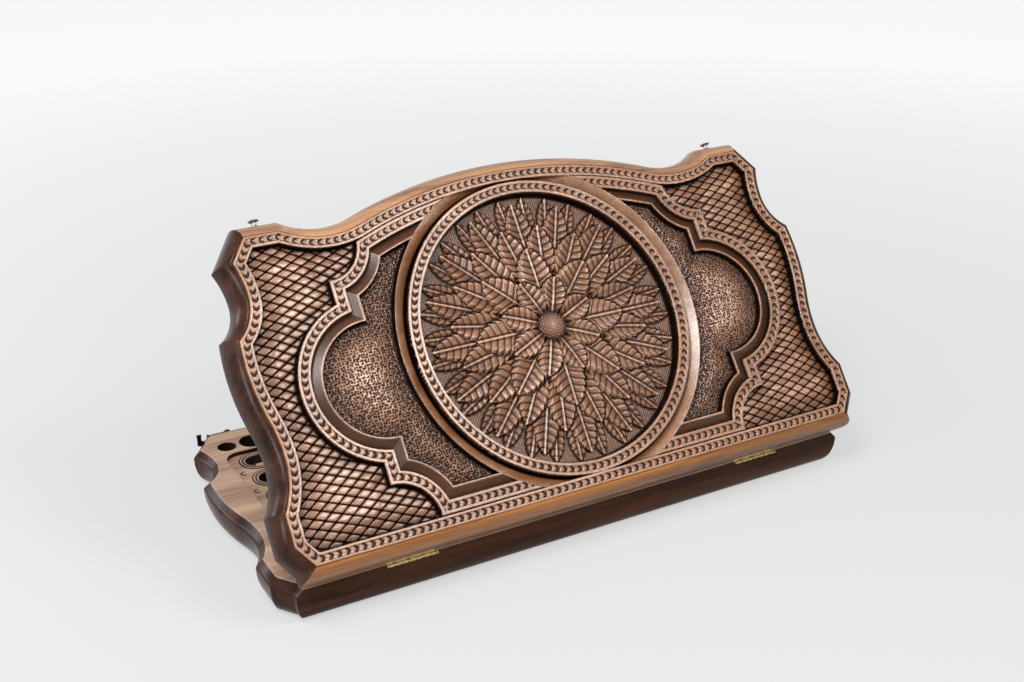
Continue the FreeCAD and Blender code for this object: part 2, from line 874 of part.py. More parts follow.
def hook_outline():
    """The flat hook: a runs outward from the eye along the arm, b towards the mating plane."""
    arm = hook_arm_half_width
    arm_turn = math.degrees(math.asin(arm / hook_eye_radius))
    mouth = around(stud_neck_radius + hook_mouth_clearance, turned_sides)
    mouth_low = hook_reach - mouth
    mouth_high = hook_reach + mouth
    grip_out = mouth_high + hook_grip_width
    beak_back = mouth_low - hook_beak_width
    eye = bend(0, hook_eye_radius, 360 - arm_turn, arm_turn)
    cut = hook_corner_cut
    beak = [(beak_back, arm), (mouth_low - cut, hook_beak_up), (mouth_low, hook_beak_up)]
    grip = [
        (mouth_high - hook_grip_flare, hook_grip_up), (grip_out + hook_grip_flare, hook_grip_up),
        (grip_out, 0), (grip_out, cut - hook_grip_down), (mouth_high + cut, -hook_grip_down),
        (hook_reach - cut, -mouth - hook_mouth_wall), (beak_back, -arm),
    ]
    outline = eye + beak + bend(hook_reach, mouth, 180, 360) + grip
    points = [Vector(a, b, 0) for a, b in outline]
    return Part.makePolygon(points + points[:1])


def hook(side):
    """A flat hook with its arm level, pointing outward, and its mouth open towards the lid."""
    body = prism(hook_outline(), 0, hook_thickness)
    eye = around(fixing_radius + hook_eye_clearance, turned_sides)
    bore = flat_sided([(-overshoot, eye), (hook_thickness + overshoot, eye)], turned_sides)
    body = body.cut(bore)
    # the arm's plane is turned upright, so that b points to the mating plane and the thickness rearward
    body.rotate(Vector(0, 0, 0), Vector(1, 0, 0), -90)
    if side < 0:
        body = body.mirror(Vector(0, 0, 0), Vector(1, 0, 0))
    seat = hook_seat_y() + washer_thickness + hook_side_clearance
    body.translate(Vector(side * catch_x, seat, hook_pivot_height))
    return body


# Placing the two halves

def as_lid(shape):
    """Move a shape from the closed half's own coordinates to the lid, tilted back about the hinge."""
    placed = shape.copy()
    placed.rotate(Vector(0, 0, 0), Vector(1, 0, 0), lid_opening_deg)
    placed.translate(hinge_axis)
    return placed


def as_base(shape):
    """Move a shape to the base half, which is the mirror image under the mating plane."""
    placed = shape.mirror(Vector(0, 0, 0), Vector(0, 0, 1))
    placed.translate(hinge_axis)
    return placed


def lid_rear_rail():
    rail = rear_rail()
    for side in (-1, 1):
        rail = rail.cut(stud_hole(side))
    return rail


def base_rear_rail():
    rail = rear_rail()
    for side in (-1, 1):
        rail = rail.cut(hook_screw_hole(side)).cut(pockets(side))
    return rail


def export(name, shape):
    shape.exportStep("parts/" + name + ".step")
    print(name, "solids", len(shape.Solids), "valid", shape.isValid(), "volume", round(shape.Volume))


def main():
    os.makedirs("parts", exist_ok=True)
    halves = (
        ("base", as_base, base_rear_rail, base_carved_board),
        ("lid", as_lid, lid_rear_rail, lid_carved_board),
    )
    for half, place, make_rear_rail, make_carved_board in halves:
        export(half + "_front_rail", place(front_rail()))
        export(half + "_rear_rail", place(make_rear_rail()))
        export(half + "_bay_blocks", place(both_sides(bay_block)))
        export(half + "_playing_field", place(playing_field()))
        export(half + "_pale_points", place(point_inlays(0)))
        export(half + "_dark_points", place(point_inlays(1)))
        export(half + "_carved_board", place(make_carved_board()))
        export(half + "_rosette", place(rosette()))
        export(half + "_hinge_screws", place(hinge_screws()))
        for name, side in (("left", -1), ("right", 1)):
            export(name + "_hinge_" + half + "_leaf", place(hinge_leaf(side, half)))
    for name, side in (("left", -1), ("right", 1)):
        export(name + "_hinge_pin", as_base(hinge_pin(side)))
        export(name + "_stud", as_lid(stud(side)))
        export(name + "_hook", as_base(hook(side)))
        export(name + "_hook_screw", as_base(hook_screw(side)))


main()
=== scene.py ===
# The carved backgammon case in its finished look. Lengths are millimetres in the coordinates of one
# half: u along the hinge from the middle, v from the hinge axis to the rear, w from the mating plane
# out to the carved face. Names in _x and _y are values of u and v. A piece is turned into metres and
# set on its half when it is made.

import cmath
import json
import math

import bmesh
import bpy
import numpy as np
from mathutils import Matrix, Vector


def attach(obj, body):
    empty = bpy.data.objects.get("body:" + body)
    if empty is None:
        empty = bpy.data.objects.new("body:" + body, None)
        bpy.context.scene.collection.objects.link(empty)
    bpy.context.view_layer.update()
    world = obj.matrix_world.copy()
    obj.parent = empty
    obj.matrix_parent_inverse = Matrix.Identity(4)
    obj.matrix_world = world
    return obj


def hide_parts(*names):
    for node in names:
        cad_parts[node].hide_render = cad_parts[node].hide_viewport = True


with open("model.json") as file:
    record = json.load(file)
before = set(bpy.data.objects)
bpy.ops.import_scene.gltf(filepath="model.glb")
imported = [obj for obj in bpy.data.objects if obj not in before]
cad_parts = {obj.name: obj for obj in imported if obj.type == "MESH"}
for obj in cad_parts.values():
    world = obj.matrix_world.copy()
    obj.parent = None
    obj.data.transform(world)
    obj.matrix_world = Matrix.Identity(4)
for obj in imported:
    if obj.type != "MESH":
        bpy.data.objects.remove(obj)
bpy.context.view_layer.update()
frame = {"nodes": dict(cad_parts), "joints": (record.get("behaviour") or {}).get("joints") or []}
lid_hinge = next(joint for joint in frame["joints"] if joint["name"] == "lid_hinge")
hinge_y, hinge_z = (1000 * place for place in lid_hinge["pos_m"][1:])
lid_opening = math.radians(-lid_hinge["range_deg"][0])

# Camera, in metres, as fitted to the photograph
camera_place = (-0.66663, -1.03034, 0.75181)
camera_right = (0.86986, -0.49331, 0.00108)
camera_up = (0.20000, 0.35467, 0.91335)
camera_lens = 49.94

# Stage, in metres and watts: each light has its name, place, target, size, power and tint
backdrop_shade = (0.91, 0.915, 0.915, 1.0)
floor_shade = (0.64, 0.65, 0.65, 1.0)
floor_half_size = 40.0
floor_drop = 0.0005
floor_own_light = 0.7
floor_fade = {"From Min": 0.45, "From Max": 2.2, "To Min": 0.76, "To Max": 1.22}
sky_shade = (0.94, 0.97, 1.0, 1.0)
sky_strength = 0.34
lights = [
    ("key", (-0.95, -0.6, 1.85), (-0.1, 0.1, 0.15), (0.7, 0.7), 33.0, (1.0, 0.98, 0.96)),
    ("gloss", (0.45, -0.98, 1.38), (-0.1, 0.05, 0.15), (0.5, 0.4), 16.0, (1.0, 0.99, 0.98)),
    ("side", (-1.75, -0.2, 0.6), (-0.3, 0.1, 0.15), (0.25, 0.7), 12.0, (0.88, 0.93, 1.0)),
    ("rear_side", (-1.5, 1.5, 0.5), (-0.3, 0.1, 0.05), (0.9, 0.4), 7.0, (0.86, 0.91, 1.0)),
]

# Woods, with screen colours from 0 to 255: name, dark and light shade, roughness and specular level
wood_looks = {
    "lid_edge": ("edge_walnut", (96, 61, 38), (174, 130, 94), 0.34, 0.5),
    "front_edge": ("front_edge_walnut", (84, 48, 20), (156, 102, 54), 0.34, 0.25),
    # the base's edges are painted darker than the lid's, as painted shade
    "base_edge": ("low_edge_walnut", (34, 18, 10), (76, 44, 24), 0.36, 0.08),
    "end_edge": ("end_grain_walnut", (26, 14, 10), (68, 41, 30), 0.22, 0.09),
    "rim": ("rim_walnut", (132, 101, 81), (186, 156, 134), 0.42, 0.4),
    "carved_plain": ("face_walnut", (120, 80, 56), (178, 132, 100), 0.36, 0.5),
    "tray": ("tray_walnut", (124, 92, 72), (186, 152, 126), 0.44, 0.4),
    "field": ("field_walnut", (40, 24, 16), (82, 52, 34), 0.35, 0.5),
    "pale": ("pale_maple", (196, 156, 104), (226, 192, 142), 0.38, 0.5),
    "dark": ("dark_walnut", (26, 15, 10), (54, 34, 24), 0.36, 0.5),
    # near-black wood for sheets of painted shade on the tray's walls and in the grooves round the bays
    "painted_dark": ("painted_shade_walnut", (14, 8, 6), (34, 20, 14), 0.55, 0.25),
}

# Carved wood: its screen colour at each tone
carved_shades = [
    (0.0, (12, 6, 4)), (0.25, (42, 22, 12)), (0.5, (88, 52, 27)), (0.7, (120, 78, 48)),
    (0.88, (150, 109, 81)), (1.0, (180, 146, 124)),
]

# Grain as noise: repeats per metre along it and across it, and detail
wood_figure = (4.0, 60.0, 4.0)
wood_pores = (30.0, 900.0, 2.0)
carved_figure = (5.0, 55.0, 4.0)
carved_fibres = (260.0, 1100.0, 3.0)
carved_pores = (170.0, 1500.0, 1.0)

# Relief of the grain, as strength and height in metres, and polish of the carving
wood_relief = (0.15, 0.0004)
carved_relief = (0.4, 0.0003)
carved_roughness = 0.3

# Angles in degrees, above which the edges of a piece stay sharp
moulding_sharp = 28
metal_sharp = 35
stud_sharp = 50
tray_sharp = 40

# Thickness of one half, and depths below its mating plane
half_thickness = 38.0
field_depth = 14.5
recess_depth = 4.5
pocket_depth = 14.0

# Plan of the carved face
foot_half_length = 312.5
toe_inset = 13.5
waist_inset = 14.0
belly_inset = 2.7
neck_inset = 23.0
shoulder_inset = 17.5
corner_inset = 34.0
front_edge_y = 15.5
toe_y = 16.5
foot_low_y = 36.0
foot_high_y = 66.0
waist_y = 114.0
belly_y = 203.0
neck_y = 265.0
shoulder_y = 297.0
rear_flat_y = 320.0
crown_y = 342.0
upper_waist_radius = 146.0
lower_neck_radius = 50.0
arch_radius = 481.0
dip_x = 197.0
dip_centre_y = 402.0
centre_of_arch = (0.0, crown_y - arch_radius)

# Moulded edge: how far it stands out of the outline of the carved face, and its sections as heights
# above the mating plane with distances out
cad_rim_out = {"front": 12.1, "end": 3.3, "rear": 5.5}
rim_out = {"front": 12.1, "end": 5.0, "rear": 5.5}
nose_out = {"front": 12.1, "end": 12.0, "rear": 15.0}
nose_height = 8.5
rim_height = 0.03
rim_top = 0.4
skin_clearance = 0.06
arc_step = 2.5
least_arc_steps = 4
moulding_heights = [
    rim_height, rim_top, 2.0, 4.0, 5.2, 6.4, 7.4, 8.0, 8.7, 10.0, 12.0, 14.5, 17.0, 19.5, 22.0, 24.5,
    27.0, 29.0, 31.0, 32.5, 34.0, 35.2, 36.2, 36.8,
]
quirk_section = [(37.2, 1.1), (37.2, 0.8), (36.2, 0.15)]
lip_section = [(37.75, -0.4), (37.95, -0.8), (37.95, -1.6), (36.0, -1.7)]

# Border band, cartouche and grounds of the carving, as widths and depths below the face
band_width = 11.0
band_groove = 1.0
cartouche_band_width = 12.0
cartouche_step_x = 211.0
cartouche_low_y = 28.0
cartouche_high_y = 301.0
cartouche_low_radius = 39.0
cartouche_high_radius = 37.0
lobe_x = 189.0
lobe_y = 164.5
lobe_radius = 79.4
lattice_depth = 7.6
bevel_width = 11.5
bevel_top_width = 1.2
bevel_low = 6.0
bevel_high = 1.0
stipple_edge_depth = 7.6
stipple_middle_depth = 3.2
stipple_dome_reach = 34.0
wall_width = 1.2
cut_wall_width = 0.7
lip_drop = 2.5
lip_drop_width = 0.9
face_margin = 0.2
border_tone = 0.86
band_tone = 0.84

# Painted shade at the foot of walls: how far it rises, then where it starts to fade and over what width
shadow_rise = 0.3
lattice_shadow = (1.3, 1.8)
stipple_shadow = (1.2, 2.0)
medallion_shadow = (1.3, 2.2)

# Medallion
medallion_y = 178.0
ring_outer_radius = 151.0
ring_inner_radius = 138.7
flange_low = 10.0
flange_high = 1.0
flange_radius = 163.6
medallion_recess = 11.5
boss_radius = 15.0
least_leaf_depth = 0.3

# Rows of leaves from the outermost to the innermost: how many, their shift as a share of the pitch,
# first and last radius, half width, place of the widest part, height and number of teeth
leaf_rows = [
    (32, 0.5, 88.0, 136.0, 9.0, 0.5, 3.0, 7),
    (16, 0.0, 60.0, 130.0, 15.0, 0.5, 5.0, 9),
    (16, 0.5, 36.0, 106.0, 15.5, 0.56, 7.2, 9),
    (8, 0.0, 16.0, 82.0, 19.0, 0.55, 9.2, 9),
    (8, 0.5, 8.0, 52.0, 13.5, 0.6, 10.6, 7),
]

# Fine patterns
braid_pitch = 8.0
braid_curve = 0.3
channel_half_width = 3.1
channel_depth = 0.5
braid_depth = 1.6
ridge_half_width = 0.75
crescent_tail = 1.5
crescent_head = 3.0
cut_width = 0.6
lattice_half_angle = 29.2
lattice_spacing = 8.4
lattice_pivot_x = 262.0
lattice_pivot_y = 165.0
groove_half_width = 0.75
groove_depth = 1.5
node_half_width = 1.5
node_depth = 0.9
lattice_dome = 1.8
lattice_dome_reach = 22.0
pit_spacing = 2.7
pit_radius = 0.93
pit_depth = 1.2
hatch_spacing = 2.3
hatch_slant = math.radians(38)
hatch_depth = 0.5
grid_steps = {"lid": 0.5, "base": 1.1}
grid_margin = 2.0

# Skew of the lattice, left and right: degrees for each millimetre of v, and degrees
lattice_lean = (-0.032, 0.022)
lattice_turn = (1.7, -0.6)

# Tray: bays, recess, pockets as places and radii, and the sheets of painted shade on their walls
bay_x = 254.0
bay_radius = 12.5
bay_steps = 24
points_per_end = 6
front_rail_y = 36.0
rear_rail_y = 276.0
bay_pitch = (rear_rail_y - front_rail_y) / points_per_end
bay_centres = [front_rail_y + bay_pitch * (number + 0.5) for number in range(points_per_end)]
lining_start = 234.2
recess_half_length = 284.0
recess_corner_radius = 15.0
corner_steps = 9
pocket_y = 292.5
pockets = [(274.0, 10.0), (246.0, 14.0)]
crescent_x = 275.5
lining_thickness = 0.3
lining_drop = 0.4

# Ridges round a bay and between two bays: radius, rise above the recess, and 1 where they take the
# near-black wood, painted shade in the grooves between the ridges and over the whole small crescent
ring_profile = [
    (12.6, -0.02, 0), (12.8, 0.8, 0), (14.3, 1.0, 0), (14.7, 0.05, 1), (15.7, 0.05, 1), (16.0, 0.8, 1),
    (17.6, 0.9, 0), (18.0, 0.05, 1), (18.9, 0.05, 1), (19.2, 0.35, 1), (19.6, -0.02, 0),
]
crescent_profile = [(2.3, -0.02, 1), (2.6, 0.4, 1), (3.6, 0.4, 1), (4.0, -0.02, 1)]
crescent_reach = 1.9
ring_end_gap = 0.02
ridge_steps = 48

# Hardware; sections are places along the axis with radii, apart from the tongue, which lies between two
# values of v and two of w
round_sides = 40
screw_sides = 24
hinge_x = 198.0
leaf_length = 50.0
leaf_low = 0.14
leaf_thickness = 1.2
leaf_front = 4.2
leaf_reach = 17.5
knuckle_count = 7
knuckle_radius = 1.6
knuckle_gap = 2.3
knuckle_chamfer = 0.25
tongue_section = (0.5, 16.5, 0.15, 1.15)
pin_head_section = [(0.0, 1.1), (0.0, 1.7), (0.2, 1.7), (0.84, 1.9), (1.2, 1.2)]
screw_half_spacing = 14.0
screw_y = 11.0
screw_section = [(0.08, 0.2), (0.04, 1.0), (0.12, 2.1), (1.1, 1.1), (12.0, 1.1)]
catch_x = 259.0
stud_height = 18.0
stud_seat = 1.4
stud_section = [
    (-14, 1.5), (0, 1.5), (0, 3.8), (0.9, 4.0), (1.5, 3.6), (1.7, 2.6), (2.8, 2.2), (4.6, 2.3), (5.6, 2.9),
    (6.0, 4.2), (6.2, 5.0), (6.6, 5.3), (7.0, 5.1), (7.5, 3.9), (7.8, 2.4), (8.3, 1.7), (8.6, 0.9),
    (8.7, 0.2),
]


# Placing

def placed(points, half):
    """Points of a closed half, in metres on the half they belong to."""
    u, v, w = np.asarray(points, float).T
    if half == "lid":
        y = v * math.cos(lid_opening) - w * math.sin(lid_opening) + hinge_y
        z = v * math.sin(lid_opening) + w * math.cos(lid_opening) + hinge_z
    else:
        y = v + hinge_y
        z = hinge_z - w
    return np.column_stack((u, y, z)) / 1000


def new_object(name, data):
    """A mesh, light or camera put in the scene."""
    piece = bpy.data.objects.new(name, data)
    bpy.context.scene.collection.objects.link(piece)
    return piece


def new_piece(name, shape, half, materials, sharp_deg, kinds=None):
    """A mesh piece of a shape, which is points of a closed half and faces that look outward there.

    Edges sharper than sharp_deg stay sharp; kinds tells which material each face has.
    """
    points, faces = shape
    if half == "base":
        faces = [tuple(reversed(face)) for face in faces]
    mesh = bpy.data.meshes.new(name)
    mesh.from_pydata(placed(points, half).tolist(), [], faces)
    piece = finished_piece(name, mesh, half, materials)
    mesh.set_sharp_from_angle(angle=math.radians(sharp_deg))
    if kinds:
        mesh.polygons.foreach_set("material_index", np.array(kinds, np.int32))
    return piece


def finished_piece(name, mesh, half, materials):
    """A smooth shaded object of a mesh, with its materials, that rides on its half."""
    mesh.polygons.foreach_set("use_smooth", np.full(len(mesh.polygons), True))
    for material in materials:
        mesh.materials.append(material)
    mesh.update()
    piece = new_object(name, mesh)
    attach(piece, half)
    return piece


# Outlines of straight edges and arcs, with their points as complex numbers u + iv

def straight(start, end, side):
    """A straight edge through two points; its outside is on the right of its direction."""
    start = complex(*start)
    run = complex(*end) - start
    return {"start": start, "direction": run / abs(run), "side": side}


def arc(centre, radius, bulge, side):
    """A circular edge: bulge is 1 where it is convex and -1 where it is hollow."""
    return {"centre": complex(*centre), "radius": radius, "bulge": bulge, "side": side}


def moved_out(edge, offsets):
    """An edge moved outward by the distance of its side."""
    distance = offsets[edge["side"]]
    if "radius" in edge:
        return dict(edge, radius=edge["radius"] + edge["bulge"] * distance)
    return dict(edge, start=edge["start"] - 1j * edge["direction"] * distance)


def crossings(first, second):
    """The points where two edges meet when they are made longer."""
    if "radius" in first and "radius" in second:
        gap = second["centre"] - first["centre"]
        along = (first["radius"] ** 2 - second["radius"] ** 2 + abs(gap) ** 2) / (2 * abs(gap))
        across = math.sqrt(max(first["radius"] ** 2 - along ** 2, 0.0))
        return [first["centre"] + gap / abs(gap) * complex(along, sign * across) for sign in (-1, 1)]
    if "radius" in first:
        first, second = second, first
    start, direction = first["start"], first["direction"]
    if "radius" in second:
        offset = (start - second["centre"]) / direction
        reach = math.sqrt(max(second["radius"] ** 2 - offset.imag ** 2, 0.0))
        return [start + direction * (sign * reach - offset.real) for sign in (-1, 1)]
    offset = (second["start"] - start) / direction
    slope = second["direction"] / direction
    return [start + direction * (offset.real - offset.imag * slope.real / slope.imag)]


def corner_of(first, second, near):
    """The crossing of two edges that is closest to a place."""
    return min(crossings(first, second), key=lambda point: abs(point - near))


def half_chain(outline, offsets):
    """(edge, start, end) of the right half's edges, from the front middle to the rear middle."""
    edges, corners = outline
    moved = [moved_out(edge, offsets) for edge in edges]
    points = [corner_of(a, b, complex(*near)) for a, b, near in zip(moved, moved[1:], corners)]
    axis = straight((0.0, 0.0), (0.0, 1.0), "end")
    first = corner_of(moved[0], axis, 1j * points[0].imag)
    last = corner_of(moved[-1], axis, 1j * points[-1].imag)
    points = [first] + points + [last]
    return list(zip(moved, points, points[1:]))


def arc_radius_through(across, along):
    """Radius of an arc that leaves its vertex square and passes a point across and along from it."""
    return (across ** 2 + along ** 2) / (2 * across)


def case_outline():
    """Edges of the carved face, from the front middle to the rear middle, and places near its corners."""
    foot = foot_half_length
    toe, waist, belly, neck, shoulder, corner = (
        foot - inset
        for inset in (toe_inset, waist_inset, belly_inset, neck_inset, shoulder_inset, corner_inset)
    )
    dip_radius = math.hypot(dip_x, dip_centre_y - centre_of_arch[1]) - arch_radius
    lower_waist_radius = arc_radius_through(waist_inset, waist_y - foot_high_y)
    belly_radius = arc_radius_through(belly - waist, belly_y - waist_y) - upper_waist_radius
    upper_neck_radius = arc_radius_through(shoulder - neck, shoulder_y - neck_y)
    edges = [
        straight((0.0, front_edge_y), (toe, front_edge_y), "front"),
        straight((toe, front_edge_y), (toe, toe_y), "end"),
        straight((toe, toe_y), (foot, foot_low_y), "end"),
        straight((foot, foot_low_y), (foot, foot_high_y), "end"),
        arc((waist + lower_waist_radius, waist_y), lower_waist_radius, -1, "end"),
        arc((waist + upper_waist_radius, waist_y), upper_waist_radius, -1, "end"),
        arc((belly - belly_radius, belly_y), belly_radius, 1, "end"),
        arc((neck + lower_neck_radius, neck_y), lower_neck_radius, -1, "end"),
        arc((neck + upper_neck_radius, neck_y), upper_neck_radius, -1, "end"),
        straight((shoulder, shoulder_y), (corner, rear_flat_y), "end"),
        straight((corner, rear_flat_y), (0.0, rear_flat_y), "rear"),
        arc((dip_x, dip_centre_y), dip_radius, -1, "rear"),
        arc(centre_of_arch, arch_radius, 1, "rear"),
    ]
    corners = [
        (toe, front_edge_y), (toe, toe_y), (foot, foot_low_y), (foot, foot_high_y),
        (waist, waist_y), ((waist + belly) / 2, (waist_y + belly_y) / 2),
        (belly, neck_y - lower_neck_radius * 0.8), (neck, neck_y), (shoulder, shoulder_y),
        (corner, rear_flat_y), (dip_x + dip_radius / 2, rear_flat_y), (dip_x / 2, rear_flat_y),
    ]
    return edges, corners


def border_outline():
    """The outline that the border band follows: the face without its short upright toes."""
    edges, corners = case_outline()
    return edges[:1] + edges[2:], corners[:1] + corners[2:]


def cartouche_outline():
    """Outer edge of the lobed inner band, from the front middle to the rear middle."""
    step, low, high = cartouche_step_x, cartouche_low_y, cartouche_high_y
    lobe_rise = math.sqrt(lobe_radius ** 2 - (step - lobe_x) ** 2)
    edges = [
        straight((0.0, low), (step, low), "end"),
        arc((step, low), cartouche_low_radius, -1, "end"),
        straight((step, low), (step, lobe_y), "end"),
        arc((lobe_x, lobe_y), lobe_radius, 1, "end"),
        straight((step, lobe_y), (step, high), "end"),
        arc((step, high), cartouche_high_radius, -1, "end"),
        arc(centre_of_arch, arch_radius - band_width - band_groove, 1, "end"),
    ]
    corners = [
        (step - cartouche_low_radius, low), (step, low + cartouche_low_radius), (step, lobe_y - lobe_rise),
        (step, lobe_y + lobe_rise), (step, high - cartouche_high_radius),
        (step - cartouche_high_radius, high),
    ]
    return edges, corners


def same_on_all_sides(distance):
    return {"front": distance, "end": distance, "rear": distance}


def arc_turn(edge, start, end):
    """First angle and turn of an arc from its start to its end; no arc here turns by half a circle."""
    first = start - edge["centre"]
    return cmath.phase(first), cmath.phase((end - edge["centre"]) / first)


# The moulded edge: a skin swept along the outline, level by level

def ring_steps():
    """How many steps each edge of the right half is cut into, and the side of each step of the ring."""
    counts = []
    right = []
    for edge, start, end in half_chain(case_outline(), same_on_all_sides(0.0)):
        count = 1
        if "radius" in edge:
            turn = arc_turn(edge, start, end)[1]
            count = max(round(abs(turn) * edge["radius"] / arc_step), least_arc_steps)
        counts.append(count)
        right += [edge["side"]] * count
    return counts, right + right[::-1]


def outline_ring(offsets, counts):
    """Points round the whole outline, counter-clockwise from the front middle."""
    right = []
    chain = half_chain(case_outline(), offsets)
    for (edge, start, end), count in zip(chain, counts):
        for step in range(count):
            if "radius" in edge:
                first, turn = arc_turn(edge, start, end)
                right.append(edge["centre"] + cmath.rect(edge["radius"], first + turn * step / count))
            else:
                right.append(start + (end - start) * step / count)
    rear_middle = chain[-1][2]
    return right + [rear_middle] + [-point.conjugate() for point in reversed(right[1:])]


def moulding_out(side, height):
    """How far one side of the moulding stands out at a height above the mating plane."""
    if height <= nose_height:
        rise = height / nose_height
        swell = 0.94 * rise + 0.06 * math.sin(math.pi * rise / 2) + 0.12 * math.sin(math.pi * rise ** 2)
        return rim_out[side] + (nose_out[side] - rim_out[side]) * min(swell, 1.0)
    rise = (height - nose_height) / (half_thickness - nose_height)
    return nose_out[side] * (1 - rise ** 2) ** (0.5 + 0.15 * rise ** 5)


def moulding_section():
    """(height, offsets, place) from the rim at the mating plane to the lip on the carved face."""
    levels = [(rim_height, {side: out + 0.02 for side, out in cad_rim_out.items()}, "rim")]
    for height in moulding_heights:
        offsets = {side: moulding_out(side, height) + skin_clearance for side in rim_out}
        levels.append((height, offsets, "rim" if height <= rim_top else None))
    levels += [(height, same_on_all_sides(out), None) for height, out in quirk_section]
    levels += [(height, same_on_all_sides(out), "lip") for height, out in lip_section]
    return levels


def moulding(half):
    """The moulded edge, with the rim and the lip beside the carving in their own woods."""
    counts, sides = ring_steps()
    woods = {
        "rear": wood[half + "_edge"], "end": wood["end_edge"], "rim": wood["rim"],
        "lip": wood["carved_plain"], "front": wood["front_edge" if half == "lid" else "base_edge"],
    }
    order = list(woods)
    points = []
    faces = []
    kinds = []
    for number, (height, offsets, place) in enumerate(moulding_section()):
        ring = outline_ring(offsets, counts)
        size = len(ring)
        points += [(point.real, point.imag, height) for point in ring]
        if number == 0:
            continue
        low = (number - 1) * size
        for i in range(size):
            after = (i + 1) % size
            faces.append((low + i, low + after, low + size + after, low + size + i))
            kinds.append(order.index(place or sides[i]))
    shape = (points, faces)
    piece = new_piece(half + "_moulding", shape, half, woods.values(), moulding_sharp, kinds)


# The carving: a fine grid of depths below the carved face

def clipped(x):
    return np.clip(x, 0.0, 1.0)


def smooth(x):
    """A soft step from 0 to 1 while x goes from 0 to 1."""
    x = clipped(x)
    return x * x * (3 - 2 * x)


def fraction(x):
    return x - np.floor(x)


def hashed(i, j, salt):
    """A repeatable random number between 0 and 1 for each cell of a grid."""
    return fraction(np.sin(i * 127.1 + j * 311.7 + salt * 74.7) * 43758.5453)


def both_halves(right, sign=1):
    """The right half of a field, with its mirror image times sign on the left."""
    return np.concatenate((sign * right[:, :0:-1], right), axis=1)


def beside_chain(chain, u, v):
    """Signed distance outside a chain with mitred corners, the arc length beside it, and its length."""
    best = np.full(u.shape, np.inf)
    out = np.zeros(u.shape)
    along = np.zeros(u.shape)
    travelled = 0.0
    tie = 1e-3
    for edge, start, end in chain:
        if "radius" in edge:
            radius = edge["radius"]
            first, turn = arc_turn(edge, start, end)
            half_turn = abs(turn) / 2
            du, dv = u - edge["centre"].real, v - edge["centre"].imag
            angle = np.arctan2(dv, du) - (first + turn / 2)
            angle = ((angle + math.pi) % (2 * math.pi) - math.pi) * math.copysign(1, turn)
            beyond = angle - np.clip(angle, -half_turn, half_turn)
            reach = np.hypot(du, dv)
            across = (reach - radius) * edge["bulge"]
            square = reach ** 2 + radius ** 2 - 2 * reach * radius * np.cos(beyond)
            distance = np.sqrt(np.maximum(square, 0.0))
            length = 2 * half_turn * radius
            place = (angle + half_turn) * radius
        else:
            dx, dy = edge["direction"].real, edge["direction"].imag
            du, dv = u - start.real, v - start.imag
            length = abs(end - start)
            place = du * dx + dv * dy
            across = du * dy - dv * dx
            distance = np.hypot(place - np.clip(place, 0.0, length), across)
        key = distance - tie * np.abs(across)
        closer = key < best
        best = np.where(closer, key, best)
        out = np.where(closer, across, out)
        along = np.where(closer, travelled + place, along)
        travelled += length
    return out, along, travelled


def braid(across, along, whole_length):
    """Depth and painted shade of the row of crescents in the sunk channel of a band."""
    pitch = whole_length / round(whole_length / braid_pitch)
    phase = fraction((along + braid_curve * across ** 2) / pitch)
    ridge = np.exp(-(np.minimum(phase, 1 - phase) * pitch / ridge_half_width) ** 2)
    aside = np.abs(across)
    reach = crescent_tail + (crescent_head - crescent_tail) * smooth(phase * 1.2)
    hollow = smooth((reach - aside) / cut_width + 0.5) * (1 - ridge)
    channel = smooth((channel_half_width - aside) / cut_width)
    rim = np.exp(-((aside - channel_half_width + 0.2) / 0.4) ** 2)
    deep = smooth((phase - 0.36) / 0.42)
    # painted shade: darker toward the deep end of each hollow and along the edge of the channel
    painted_shade = hollow * (0.14 + 0.76 * deep ** 1.5) + 0.4 * rim * (1 - ridge)
    depth = channel * channel_depth + (braid_depth - channel_depth) * hollow * deep
    return depth, clipped(painted_shade)


def lattice(u, v):
    """Depth, painted shade and tone of the slanted grid of grooves, a little askew as cut by hand."""
    left = u < 0
    lean = np.where(left, *lattice_lean) * (v - lattice_pivot_y) + np.where(left, *lattice_turn)
    du = u - np.sign(u) * lattice_pivot_x + 0.8 * np.sin(v / 17.0 + u / 41.0)
    dv = v - lattice_pivot_y + 0.6 * np.sin(u / 19.0 - v / 37.0)
    groove = np.zeros(u.shape)
    node = np.ones(u.shape)
    pillow = np.ones(u.shape)
    cells = []
    parts = []
    for sign in (-1, 1):
        slant = np.radians(sign * lattice_half_angle + lean)
        phase = (dv * np.cos(slant) - du * np.sin(slant)) / lattice_spacing
        part = fraction(phase)
        nearest = np.minimum(part, 1 - part) * lattice_spacing
        groove = np.maximum(groove, clipped(1 - nearest / groove_half_width))
        node = node * clipped(1 - nearest / node_half_width)
        pillow = pillow * np.sin(np.pi * part)
        cells.append(np.floor(phase))
        parts.append(part - 0.5)
    tilt = (hashed(*cells, 5) - 0.5) * parts[0] + (hashed(*cells, 6) - 0.5) * parts[1]
    # each cell's tone differs at random, and the middle of each diamond is painted lighter as a painted
    # highlight
    shade = 0.5 + 0.12 * pillow + 0.18 * (hashed(*cells, 7) - 0.5)
    depth = groove_depth * groove + node_depth * np.sqrt(node) + 0.5 * (1 - pillow) ** 2 + 0.8 * tilt
    # painted shade in the grooves and at their crossings
    return depth, clipped(groove * 2.0 + 2.4 * node), shade


